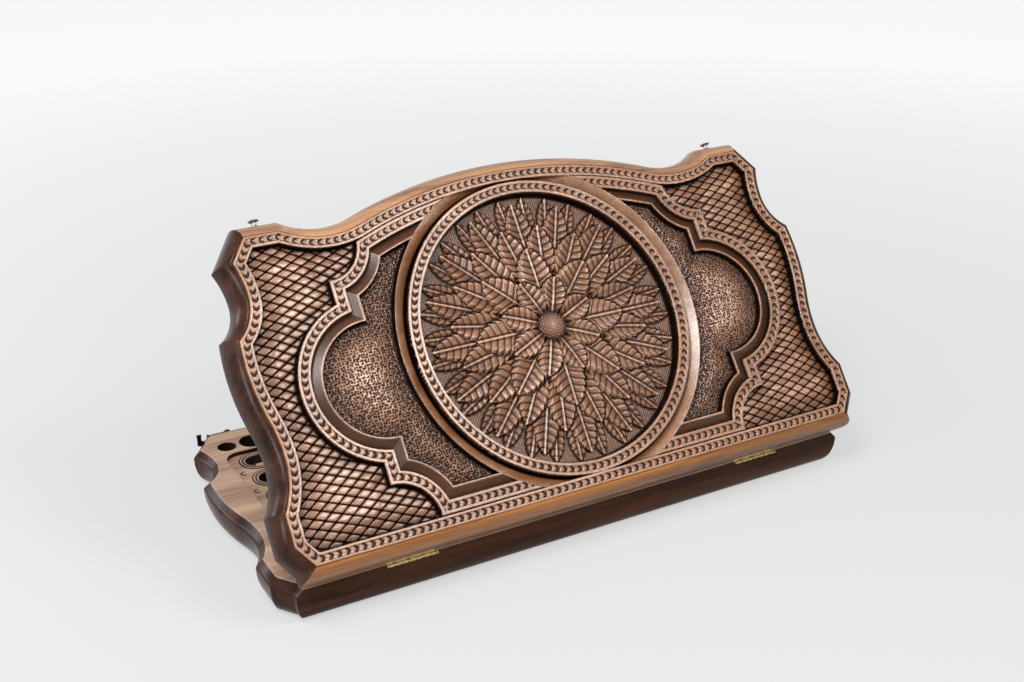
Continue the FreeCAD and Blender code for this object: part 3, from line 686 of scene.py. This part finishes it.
def stipple(u, v):
    """Depth and painted shade of small three-cornered pits, one at a random place in each cell."""
    column = np.floor(u / pit_spacing)
    row = np.floor(v / pit_spacing)
    pit = np.zeros(u.shape)
    for step_u in (-1, 0, 1):
        for step_v in (-1, 0, 1):
            i = column + step_u
            j = row + step_v
            du = u - (i + 0.2 + 0.6 * hashed(i, j, 1)) * pit_spacing
            dv = v - (j + 0.2 + 0.6 * hashed(i, j, 2)) * pit_spacing
            turn = 2 * np.pi * hashed(i, j, 3)
            reach = np.full(u.shape, -np.inf)
            for corner in range(3):
                angle = turn + corner * 2 * np.pi / 3
                reach = np.maximum(reach, du * np.cos(angle) + dv * np.sin(angle))
            size = pit_radius * (0.75 + 0.5 * hashed(i, j, 4))
            pit = np.maximum(pit, clipped(1.9 * (1 - reach / size)))
    return pit_depth * pit, pit


def leaf_row(radius, angle, count, shift, inner, outer, half_width, widest, height, lobes):
    """Height above the floor, painted light and shade, dark contour and place of a row of toothed and
    veined leaves.
    """
    turn = 2 * np.pi / count
    nearest = (fraction(angle / turn - shift + 0.5) - 0.5) * turn
    a = radius * np.cos(nearest)
    b = np.abs(radius * np.sin(nearest))
    t = clipped((a - inner) / (outer - inner))
    belly = np.sin(np.pi * t ** (math.log(0.5) / math.log(widest)))
    lobe = fraction(t * lobes - 0.06 * b)
    width = np.maximum(half_width * belly ** 0.7 * (0.84 + 0.16 * lobe), 1e-6)
    held = (a > inner) & (a < outer)
    share = np.where(held, b / width, 2.0)
    covered = share < 1
    edge = clipped((1 - share ** 2) * 3.2) ** 0.6
    cup = 0.5 + 0.5 * clipped(share) ** 2
    curl = 0.5 + 0.5 * np.sin(np.pi * clipped(t * 0.75 + 0.12))
    rib = np.exp(-b ** 2)
    beside_rib = np.exp(-((b - 2.1) / 0.7) ** 2)
    vein = clipped(1 - np.minimum(lobe, 1 - lobe) * 8.0) * clipped(b / 1.5 - 0.6)
    puff = np.sin(np.pi * lobe) * clipped(b / 2 - 0.5) * edge
    body = height * edge * cup * curl + 1.2 * rib * edge - 0.7 * beside_rib - 0.9 * vein + 1.1 * puff
    # painted light and shade: edges, rib and lobes painted lighter as highlights; veins, the hollow beside
    # the rib and the leaf's base painted darker as shade
    light = 0.42 + 0.45 * share ** 2 + 0.5 * rib + 0.25 * lobe
    light = light * (1 - 0.85 * vein) * (1 - 0.7 * beside_rib) * (0.2 + 0.8 * smooth(t / 0.45))
    # dark contour round the leaf: a burnt outline together with painted shade under its edge
    contour = np.where(covered, 0.0, clipped(1.3 - np.where(held, b - width, 99.0) / 2.4))
    return np.where(covered, np.maximum(body, 0.4), 0.0), np.where(covered, light, 0.0), contour, covered


def rosette(radius, angle):
    """Height of the rosette above the medallion's floor, its tone with painted light and shade, the bare
    floor and its painted shade.
    """
    height = np.zeros(radius.shape)
    tone = np.zeros(radius.shape)
    bare = np.ones(radius.shape, bool)
    ground = 1.0
    for number, row in enumerate(leaf_rows):
        row_height, light, contour, covered = leaf_row(radius, angle, *row)
        height = np.where(covered, np.maximum(row_height, 0.5 * height), height * (1 - 0.35 * contour))
        # rows lying lower are painted darker as shade, and each leaf's contour darkens the leaves and
        # floor under it
        tone = np.where(covered, light * (0.8 + 0.06 * number), tone * (1 - contour))
        bare = bare & ~covered
        ground = ground * (1 - 0.95 * contour)
    boss = clipped(1 - (radius / boss_radius) ** 2)
    seed = 0.5 + 0.5 * np.cos(radius * 1.9) * np.cos(10 * angle)
    on_boss = boss > 0
    height = np.where(on_boss, 5.0 + 4.6 * np.sqrt(boss) - 1.0 * seed, height)
    # the boss is painted lighter on top as a highlight and darker in its seeds as shade
    tone = np.where(on_boss, (0.25 + 0.6 * boss) * (1 - 0.6 * seed), tone)
    return height, clipped(tone), bare & ~on_boss, ground


def hatching(u, v):
    """Fine crossed cuts of the medallion's ground, from 0 between them to 1 in them."""
    cuts = np.zeros(u.shape)
    for slant in (-hatch_slant, hatch_slant):
        across = u * math.cos(slant) + v * math.sin(slant)
        cuts = np.maximum(cuts, clipped(0.5 + 0.5 * np.cos(2 * np.pi * across / hatch_spacing)) ** 2)
    return cuts


def wall_shadow(distance, start, width):
    """Painted shade at the foot of a wall, which fades out from a distance on."""
    return clipped(1 - (distance - start) / width) * clipped(distance / shadow_rise)


def laid_over(face, place, *layers):
    """Depth, painted shade and tone of the face, with those of one part of it laid over them in its place.
    """
    return [np.where(place, over, under) for over, under in zip(layers, face)]


def carving(step):
    """Places, depths and tones of the carved face on a square grid, and where the face is; the tones hold
    painted light and shade.
    """
    right_u = np.arange(0.0, foot_half_length + grid_margin, step)
    v_line = np.arange(front_edge_y - grid_margin, crown_y + grid_margin, step)
    right, high = np.meshgrid(right_u, v_line)
    u = both_halves(right, -1)
    v = both_halves(high)
    bands = []
    for outline, width in ((border_outline(), band_width), (cartouche_outline(), cartouche_band_width)):
        chain = half_chain(outline, same_on_all_sides(-width / 2))
        out, along, length = beside_chain(chain, right, high)
        bands.append((both_halves(out), both_halves(along, -1), 2 * length))
    border, cartouche = bands
    radius = np.hypot(u, v - medallion_y)
    angle = np.arctan2(v - medallion_y, u)
    inside_edge = band_width / 2 - border[0]
    below_border = -band_width / 2 - border[0]
    inside_cartouche = -cartouche_band_width / 2 - cartouche[0]

    # the border band
    face = [*braid(*border), border_tone]

    # the lattice between border and cartouche
    wall = np.minimum(below_border, cartouche[0] - cartouche_band_width / 2)
    pattern, cuts, diamonds = lattice(u, v)
    dome = smooth(wall / lattice_dome_reach)
    ground = lattice_depth - lattice_dome * dome + pattern * smooth((wall - 0.5) / 2)
    # painted shade in the grooves and at the foot of the walls; the tone is painted lighter up each dome
    # as a painted highlight
    painted_shade = np.maximum(cuts, 0.97 * wall_shadow(wall, *lattice_shadow))
    face = laid_over(face, wall > 0, smooth(wall / wall_width) * ground, painted_shade, diamonds + 0.22 * dome)

    # the cartouche band
    on_cartouche = (np.abs(cartouche[0]) <= cartouche_band_width / 2) & (below_border > 0)
    face = laid_over(face, on_cartouche, *braid(*cartouche), band_tone)

    # the bevel inside it
    on_bevel = (inside_cartouche > 0) & (inside_cartouche <= bevel_width)
    climb = inside_cartouche / (bevel_width - bevel_top_width)
    depth = bevel_low + (bevel_high - bevel_low) * clipped(climb)
    depth = depth * smooth(inside_cartouche / cut_wall_width)
    # painted shade at the foot of the cartouche's wall, and a painted highlight along the top edge of the
    # bevel
    painted_shade = 0.95 * clipped(1.3 - inside_cartouche / 1.5)
    face = laid_over(face, on_bevel, depth, painted_shade, 0.36 + 0.5 * smooth((climb - 0.88) / 0.12))

    # the stippled ground
    from_edge = np.minimum(inside_cartouche - bevel_width, radius - flange_radius)
    dome = smooth(from_edge / stipple_dome_reach)
    ground = stipple_edge_depth + (stipple_middle_depth - stipple_edge_depth) * dome
    pits, pit_painted_shade = stipple(u, v)
    below_bevel = ground - bevel_high + pits * smooth((from_edge - 0.6) / 1.5)
    depth = bevel_high + below_bevel * smooth(from_edge / wall_width)
    # painted shade in the pits and at the foot of the wall; the tone is painted lighter up the dome as a
    # painted highlight
    pit_painted_shade = 0.92 * pit_painted_shade * clipped(from_edge / shadow_rise)
    painted_shade = np.maximum(pit_painted_shade, 0.95 * wall_shadow(from_edge, *stipple_shadow))
    face = laid_over(face, from_edge > 0, depth, painted_shade, 0.46 + 0.5 * dome)

    # the flange that slopes up away from the ring
    beyond_ring = radius - ring_outer_radius
    on_flange = (beyond_ring > 0) & (radius <= flange_radius) & (below_border > 0)
    away = beyond_ring / (flange_radius - ring_outer_radius)
    depth = (flange_low + (flange_high - flange_low) * away) * smooth(beyond_ring / cut_wall_width)
    depth = depth * smooth(below_border / wall_width)
    # painted shade at the foot of the ring's wall, and the slope painted darker low down near the ring
    face = laid_over(face, on_flange, depth, clipped(1.5 - beyond_ring / 2.4), 0.62 + 0.28 * away)

    # the ring, and the sunk medallion inside it
    middle_radius = (ring_outer_radius + ring_inner_radius) / 2
    ring = braid(radius - middle_radius, angle * middle_radius, 2 * np.pi * middle_radius)
    face = laid_over(face, beyond_ring <= 0, *ring, band_tone)
    inside_ring = ring_inner_radius - radius
    leaves, leaf_tone, bare, ground_light = rosette(radius, angle)
    crossed = hatching(u, v) * bare
    floor_depth = medallion_recess * smooth(inside_ring / wall_width) - leaves + hatch_depth * crossed
    depth = np.maximum(floor_depth, least_leaf_depth)
    # painted shade at the foot of the ring's wall and in the hatch cuts; the leaves carry their own
    # painted light and shade
    painted_shade = 0.95 * wall_shadow(inside_ring, *medallion_shadow)
    tone = np.where(bare, (0.84 - 0.6 * crossed) * ground_light, 0.04 + 1.05 * leaf_tone)
    depth, painted_shade, tone = laid_over(face, inside_ring >= 0, depth, painted_shade, tone)

    # the outer edge dips under the lip of the moulding
    depth = depth + lip_drop * (1 - smooth((inside_edge - face_margin) / lip_drop_width))
    # the painted shade of cuts, pits and wall feet darkens the tone
    return u, v, depth, tone * (1 - painted_shade), inside_edge > face_margin


def carved_face(half):
    """The whole carved face of one half as one fine mesh."""
    u, v, depth, tone, keep = carving(grid_steps[half])
    number = np.arange(u.size).reshape(u.shape)
    cell = keep[:-1, :-1] & keep[1:, :-1] & keep[:-1, 1:] & keep[1:, 1:]
    corners = (number[:-1, :-1], number[:-1, 1:], number[1:, 1:], number[1:, :-1])
    quads = np.stack([corner[cell] for corner in corners], axis=1)
    used = np.unique(quads)
    renumbered = np.zeros(u.size, np.int64)
    renumbered[used] = np.arange(len(used))
    quads = renumbered[quads]
    if half == "base":
        quads = quads[:, ::-1]
    plan = np.column_stack((u.ravel(), v.ravel()))[used]
    points = np.column_stack((plan, half_thickness - depth.ravel()[used]))
    mesh = bpy.data.meshes.new(half + "_carving")
    mesh.vertices.add(len(used))
    mesh.vertices.foreach_set("co", placed(points, half).ravel())
    mesh.loops.add(quads.size)
    mesh.loops.foreach_set("vertex_index", quads.ravel())
    mesh.polygons.add(len(quads))
    mesh.polygons.foreach_set("loop_start", np.arange(0, quads.size, 4))
    mesh.update(calc_edges=True)
    mesh.validate()
    attribute = mesh.attributes.new("tone", "FLOAT", "POINT")
    attribute.data.foreach_set("value", tone.ravel()[used].astype(np.float32))
    places = plan[quads.ravel()] / (2 * foot_half_length) + (0.5, 0.0)
    mesh.uv_layers.new(name="OFBake").data.foreach_set("uv", places.astype(np.float32).ravel())
    piece = finished_piece(half + "_carving", mesh, half, [wood["carved"]])
    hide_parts(half + "_carved_board", half + "_rosette")


# Materials

def colour(screen):
    """A screen colour from 0 to 255 as linear light."""
    linear = [((part / 255 + 0.055) / 1.055) ** 2.4 if part > 10 else part / 3294 for part in screen]
    return (*linear, 1.0)


def feed(tree, node, inputs):
    """Set the named inputs of a node to numbers, or link them to outputs of other nodes."""
    for socket, value in inputs.items():
        if isinstance(value, (int, float, tuple)):
            node.inputs[socket].default_value = value
        else:
            tree.links.new(value, node.inputs[socket])


def new_node(tree, kind, inputs, **settings):
    node = tree.nodes.new(kind)
    for key, value in settings.items():
        setattr(node, key, value)
    feed(tree, node, inputs)
    return node


def math_result(tree, operation, first, second):
    return new_node(tree, "ShaderNodeMath", {0: first, 1: second}, operation=operation).outputs[0]


def new_material(name):
    material = bpy.data.materials.new(name)
    material.use_nodes = True
    return material, material.node_tree, material.node_tree.nodes["Principled BSDF"]


def grain(tree, along, across, detail):
    """Noise drawn out along the hinge, as the grain of the planks."""
    place = new_node(tree, "ShaderNodeTexCoord", {}).outputs["Object"]
    stretch = new_node(tree, "ShaderNodeMapping", {"Vector": place, "Scale": (along, across, across)})
    noise = new_node(tree, "ShaderNodeTexNoise", {
        "Vector": stretch.outputs["Vector"], "Scale": 1.0, "Detail": detail, "Roughness": 0.6,
        "Distortion": 0.4,
    })
    return noise.outputs["Fac"]


def ramp(tree, factor, stops):
    """The colour of a factor between stops, which are places and shades."""
    node = new_node(tree, "ShaderNodeValToRGB", {"Fac": factor})
    elements = node.color_ramp.elements
    while len(elements) < len(stops):
        elements.new(0.5)
    for element, (place, shade) in zip(elements, stops):
        element.position = place
        element.color = shade
    return node.outputs["Color"]


def relief(tree, height, strength, distance):
    inputs = {"Height": height, "Strength": strength, "Distance": distance}
    return new_node(tree, "ShaderNodeBump", inputs).outputs["Normal"]


def wood_material(name, dark, light, roughness, specular):
    """Wood between two shades, with broad figure and fine pores along the hinge."""
    material, tree, shader = new_material(name)
    broad = math_result(tree, "MULTIPLY", grain(tree, *wood_figure), 0.7)
    pores = grain(tree, *wood_pores)
    both = math_result(tree, "ADD", broad, math_result(tree, "MULTIPLY", pores, 0.3))
    feed(tree, shader, {
        "Base Color": ramp(tree, both, [(0.36, colour(dark)), (0.62, colour(light))]),
        "Roughness": roughness,
        "Specular IOR Level": specular,
        "Normal": relief(tree, pores, *wood_relief),
    })
    return material


def carved_material(name):
    """Carved wood: its tone comes from the carving, with painted shade in the cuts and painted highlights
    on the ridges.
    """
    material, tree, shader = new_material(name)
    tone = new_node(tree, "ShaderNodeAttribute", {}, attribute_name="tone").outputs["Fac"]
    broad = math_result(tree, "MULTIPLY", grain(tree, *carved_figure), 0.85)
    fine = grain(tree, *carved_fibres)
    streak = math_result(tree, "ADD", broad, math_result(tree, "MULTIPLY", fine, 0.55))
    scaled = math_result(tree, "MULTIPLY", math_result(tree, "SUBTRACT", streak, 0.7), tone)
    pores = ramp(tree, grain(tree, *carved_pores), [(0.36, (0.7,) * 4), (0.45, (1.0,) * 4)])
    mixed = math_result(tree, "MULTIPLY", math_result(tree, "ADD", tone, scaled), pores)
    feed(tree, shader, {
        "Base Color": ramp(tree, mixed, [(place, colour(screen)) for place, screen in carved_shades]),
        "Roughness": carved_roughness,
        "Specular IOR Level": tone,
        "Normal": relief(tree, fine, *carved_relief),
    })
    return material


def metal_material(name, screen, roughness):
    material, tree, shader = new_material(name)
    feed(tree, shader, {"Base Color": colour(screen), "Roughness": roughness, "Metallic": 1.0})
    return material


wood = {key: wood_material(*looks) for key, looks in wood_looks.items()}
wood["carved"] = carved_material("carved_walnut")
brass = metal_material("brass", (182, 158, 104), 0.36)
steel = metal_material("steel", (150, 150, 140), 0.28)
iron = metal_material("dark_iron", (58, 54, 52), 0.42)

node_materials = {
    "front_rail": wood["tray"], "rear_rail": wood["tray"], "bay_blocks": wood["tray"],
    "playing_field": wood["field"], "pale_points": wood["pale"], "dark_points": wood["dark"],
}


def dress(node, material):
    """Give a solid that stays visible its material."""
    materials = frame["nodes"][node].data.materials
    materials.clear()
    materials.append(material)


# Round hardware

side_names = {-1: "left", 1: "right"}


def turned(stations, sides=round_sides):
    """Shape of a piece turned along Z through (height, radius) stations, with closed ends."""
    points = []
    faces = []
    for height, radius in stations:
        for number in range(sides):
            turn = 2 * math.pi * number / sides
            points.append((radius * math.cos(turn), radius * math.sin(turn), height))
    for low in range(0, (len(stations) - 1) * sides, sides):
        for number in range(sides):
            after = (number + 1) % sides
            faces.append((low + number, low + after, low + sides + after, low + sides + number))
    faces.append(tuple(reversed(range(sides))))
    faces.append(tuple(range(len(points) - sides, len(points))))
    return np.array(points), faces


def along_hinge(shape, low):
    """A turned shape laid on the hinge axis, from a place along it."""
    x, y, z = shape[0].T
    return np.column_stack((z + low, y, -x)), shape[1]


def rearward(shape, u, v, w):
    """A turned shape that points to the rear from a place."""
    x, y, z = shape[0].T
    return np.column_stack((u + x, v + z, w - y)), shape[1]


def joined(parts):
    """Several shapes as one."""
    points = []
    faces = []
    count = 0
    for some, their_faces in parts:
        points.append(np.asarray(some, float))
        faces += [tuple(count + index for index in face) for face in their_faces]
        count += len(some)
    return np.concatenate(points), faces


def plate(u_low, u_high, v_low, v_high, w_low, w_high):
    points = [(u, v, w) for w in (w_low, w_high) for v in (v_low, v_high) for u in (u_low, u_high)]
    faces = [(0, 2, 3, 1), (4, 5, 7, 6), (0, 1, 5, 4), (2, 6, 7, 3), (0, 4, 6, 2), (1, 3, 7, 5)]
    return points, faces


def hinge_leaf(side, half):
    """Leaf and its knuckles; the knuckles alternate between the two halves."""
    name = side_names[side] + "_hinge_" + half + "_leaf"
    low = side * hinge_x - leaf_length / 2
    pitch = leaf_length / knuckle_count
    length = pitch - knuckle_gap
    end_radius = knuckle_radius - knuckle_chamfer
    stations = [
        (0, end_radius), (knuckle_chamfer, knuckle_radius), (length - knuckle_chamfer, knuckle_radius),
        (length, end_radius),
    ]
    parts = [plate(low, low + leaf_length, leaf_front, leaf_reach, leaf_low, leaf_thickness)]
    for number in range(0 if half == "base" else 1, knuckle_count, 2):
        start = low + number * pitch + knuckle_gap / 2
        parts.append(along_hinge(turned(stations), start))
        parts.append(plate(start, start + length, *tongue_section))
    piece = new_piece(name + "_round", joined(parts), half, [brass], metal_sharp)
    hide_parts(name)


def hinge_pin(side):
    """Pin with a head at either end of the leaves."""
    name = side_names[side] + "_hinge_pin"
    stations = [(-out, radius) for out, radius in reversed(pin_head_section)]
    stations += [(leaf_length + out, radius) for out, radius in pin_head_section]
    shape = along_hinge(turned(stations), side * hinge_x - leaf_length / 2)
    piece = new_piece(name + "_round", shape, "base", [brass], metal_sharp)
    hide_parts(name)


def hinge_screws(half):
    """Two screws in each leaf, with their heads just below the mating plane."""
    parts = []
    for side in (-1, 1):
        for shift in (-screw_half_spacing, screw_half_spacing):
            points, faces = turned(screw_section, screw_sides)
            points += (side * hinge_x + shift, screw_y, 0.0)
            parts.append((points, [tuple(reversed(face)) for face in faces]))
    piece = new_piece(half + "_hinge_screws_round", joined(parts), half, [brass], metal_sharp)
    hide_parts(half + "_hinge_screws")


def stud(side):
    """Stud on the rear edge of the lid, let in by its seat."""
    name = side_names[side] + "_stud"
    foot = rear_flat_y + moulding_out("rear", stud_height) - stud_seat
    shape = rearward(turned(stud_section), side * catch_x, foot, stud_height)
    piece = new_piece(name + "_round", shape, "lid", [steel], stud_sharp)
    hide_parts(name)


# Carved trim of the tray, and sheets of painted shade on its walls

def arc_ridge(side, centre_u, centre_v, profile, reach_of):
    """Points, faces and kinds of ridges along arcs that open to the playing field."""
    points = []
    faces = []
    kinds = []
    row = ridge_steps + 1
    for radius, rise, painted_dark in profile:
        for step in range(row):
            turn = reach_of(radius) * (2 * step / ridge_steps - 1)
            u = side * (centre_u + radius * math.cos(turn))
            points.append((u, centre_v + radius * math.sin(turn), recess_depth - rise))
    for level, (radius, rise, painted_dark) in enumerate(profile[1:]):
        for low in range(level * row, level * row + ridge_steps):
            face = (low, low + 1, low + row + 1, low + row)
            faces.append(face if side > 0 else tuple(reversed(face)))
            kinds.append(painted_dark)
    return points, faces, kinds


def ring_reach(radius):
    """Half the angle that a ridge of this radius covers round a bay, which is open on one side."""
    return math.pi - math.asin(bay_radius / radius) - ring_end_gap


def bay_rings(half):
    """Two low ridges round every bay, and a small crescent between neighbours."""
    ridges = []
    for side in (-1, 1):
        for centre_v in bay_centres:
            ridges.append(arc_ridge(side, bay_x, centre_v, ring_profile, ring_reach))
        for low_v, high_v in zip(bay_centres, bay_centres[1:]):
            middle_v = (low_v + high_v) / 2
            ridge = arc_ridge(side, crescent_x, middle_v, crescent_profile, lambda radius: crescent_reach)
            ridges.append(ridge)
    shape = joined([ridge[:2] for ridge in ridges])
    kinds = [kind for ridge in ridges for kind in ridge[2]]
    piece = new_piece(half + "_bay_rings", shape, half, [wood["tray"], wood["painted_dark"]], tray_sharp, kinds)


def wall_lining(path, low, high):
    """A thin shell along an upright wall; the path holds (u, v) and the way into the wall."""
    points = []
    for u, v, into_u, into_v in path:
        for inset in (lining_thickness, skin_clearance):
            points += [(u - into_u * inset, v - into_v * inset, w) for w in (low, high)]
    last = len(points) - 4
    faces = [(0, 1, 3, 2)]
    for now in range(0, last, 4):
        for a, b in ((0, 1), (1, 3), (3, 2), (2, 0)):
            faces.append((now + a, now + b, now + 4 + b, now + 4 + a))
    faces.append((last, last + 2, last + 3, last + 1))
    return points, faces


def wall_path(side, low_v, high_v, radius, arcs):
    """Path of a wall that opens to the playing field; an arc is its centre, two angles and its steps."""
    path = [(side * lining_start, low_v, 0.0, -1.0)]
    for centre_u, centre_v, first, last, steps in arcs:
        for step in range(steps + 1):
            turn = math.radians(first + (last - first) * step / steps)
            du, dv = side * math.cos(turn), math.sin(turn)
            path.append((side * centre_u + radius * du, centre_v + radius * dv, du, dv))
    return path + [(side * lining_start, high_v, 0.0, 1.0)]


def pocket_lining(u, v, radius):
    low, high = lining_drop, pocket_depth - skin_clearance
    inner, outer = radius - lining_thickness, radius - skin_clearance
    points, faces = turned([(high - lining_thickness, inner), (low, inner), (low, outer), (high, outer)])
    return points + (u, v, 0.0), faces


def shade_linings(half):
    """Near-black sheets of painted shade on the walls of the bays, of the recess round them and, in the
    base, of the round pockets.
    """
    radius = recess_corner_radius
    corner_x = recess_half_length - radius
    corners = [
        (corner_x, front_rail_y + radius, -90, 0, corner_steps),
        (corner_x, rear_rail_y - radius, 0, 90, corner_steps),
    ]
    parts = []
    for side in (-1, 1):
        path = wall_path(side, front_rail_y, rear_rail_y, radius, corners)
        parts.append(wall_lining(path, lining_drop, recess_depth - skin_clearance))
        for centre_v in bay_centres:
            low_v, high_v = centre_v - bay_radius, centre_v + bay_radius
            path = wall_path(side, low_v, high_v, bay_radius, [(bay_x, centre_v, -90, 90, bay_steps)])
            parts.append(wall_lining(path, recess_depth + lining_drop, field_depth - skin_clearance))
        if half == "base":
            parts += [pocket_lining(side * u, pocket_y, reach) for u, reach in pockets]
    piece = new_piece(half + "_painted_shade_walls", joined(parts), half, [wood["painted_dark"]], tray_sharp)
    shell = bmesh.new()
    shell.from_mesh(piece.data)
    bmesh.ops.recalc_face_normals(shell, faces=shell.faces)
    shell.to_mesh(piece.data)
    shell.free()


# Stage

def camera():
    data = bpy.data.cameras.new("camera")
    data.sensor_fit = "HORIZONTAL"
    data.sensor_width = 36.0
    data.lens = camera_lens
    data.clip_start = 0.01
    data.clip_end = 50.0
    piece = new_object("camera", data)
    right = Vector(camera_right)
    up = Vector(camera_up)
    turn = Matrix((right, up, right.cross(up))).transposed().to_4x4()
    piece.matrix_world = Matrix.Translation(camera_place) @ turn
    bpy.context.scene.camera = piece


def area_light(name, place, target, size, power, tint):
    data = bpy.data.lights.new(name, "AREA")
    data.shape = "RECTANGLE"
    data.size, data.size_y = size
    data.energy = power
    data.color = tint
    piece = new_object(name, data)
    piece.location = place
    aim = Vector(target) - Vector(place)
    piece.rotation_euler = aim.to_track_quat("-Z", "Y").to_euler()


def seen_rays(tree):
    """1 for rays from the camera, from a mirror or through glass, else 0."""
    rays = new_node(tree, "ShaderNodeLightPath", {}).outputs
    mirrored = math_result(tree, "MAXIMUM", rays["Is Glossy Ray"], rays["Is Transmission Ray"])
    return math_result(tree, "MAXIMUM", rays["Is Camera Ray"], mirrored)


def blend(tree, share, first, second, end):
    """Mix two shaders by a share and lead them to the last node."""
    shaders = {0: share, 1: first.outputs[0], 2: second.outputs[0]}
    mix = new_node(tree, "ShaderNodeMixShader", shaders)
    feed(tree, tree.nodes[end], {"Surface": mix.outputs[0]})


def surroundings():
    """Soft light from all round, and a pale backdrop where the background is seen."""
    world = bpy.data.worlds.new("studio")
    bpy.context.scene.world = world
    bpy.context.scene.view_settings.view_transform = "Standard"
    world.use_nodes = True
    tree = world.node_tree
    sky = tree.nodes["Background"]
    feed(tree, sky, {"Color": sky_shade, "Strength": sky_strength})
    backdrop = new_node(tree, "ShaderNodeBackground", {"Color": backdrop_shade})
    blend(tree, seen_rays(tree), sky, backdrop, "World Output")


def floor():
    """A pale floor that grows brighter away from the case until it meets the backdrop."""
    reach = floor_half_size
    corners = [(-reach, -reach), (reach, -reach), (reach, reach), (-reach, reach)]
    mesh = bpy.data.meshes.new("floor")
    mesh.from_pydata([(x, y, -floor_drop) for x, y in corners], [], [(0, 1, 2, 3)])
    piece = new_object("floor", mesh)
    material, tree, shader = new_material("pale_floor")
    feed(tree, shader, {"Base Color": floor_shade, "Roughness": 0.9, "Specular IOR Level": 0.0})
    place = new_node(tree, "ShaderNodeTexCoord", {}).outputs["Object"]
    away = new_node(tree, "ShaderNodeVectorMath", {0: place}, operation="LENGTH").outputs["Value"]
    fade = new_node(tree, "ShaderNodeMapRange", {"Value": away, **floor_fade})
    pale = new_node(tree, "ShaderNodeEmission", {"Strength": fade.outputs["Result"]})
    share = math_result(tree, "MULTIPLY", seen_rays(tree), floor_own_light)
    blend(tree, share, shader, pale, "Material Output")
    mesh.materials.append(material)


camera()
surroundings()
floor()
for light in lights:
    area_light(*light)

for half in ("lid", "base"):
    for ending, material in node_materials.items():
        dress(half + "_" + ending, material)
    carved_face(half)
    moulding(half)
    bay_rings(half)
    shade_linings(half)
    hinge_screws(half)
    for side in (-1, 1):
        hinge_leaf(side, half)
for side in (-1, 1):
    hinge_pin(side)
    stud(side)
    dress(side_names[side] + "_hook", iron)
    dress(side_names[side] + "_hook_screw", iron)
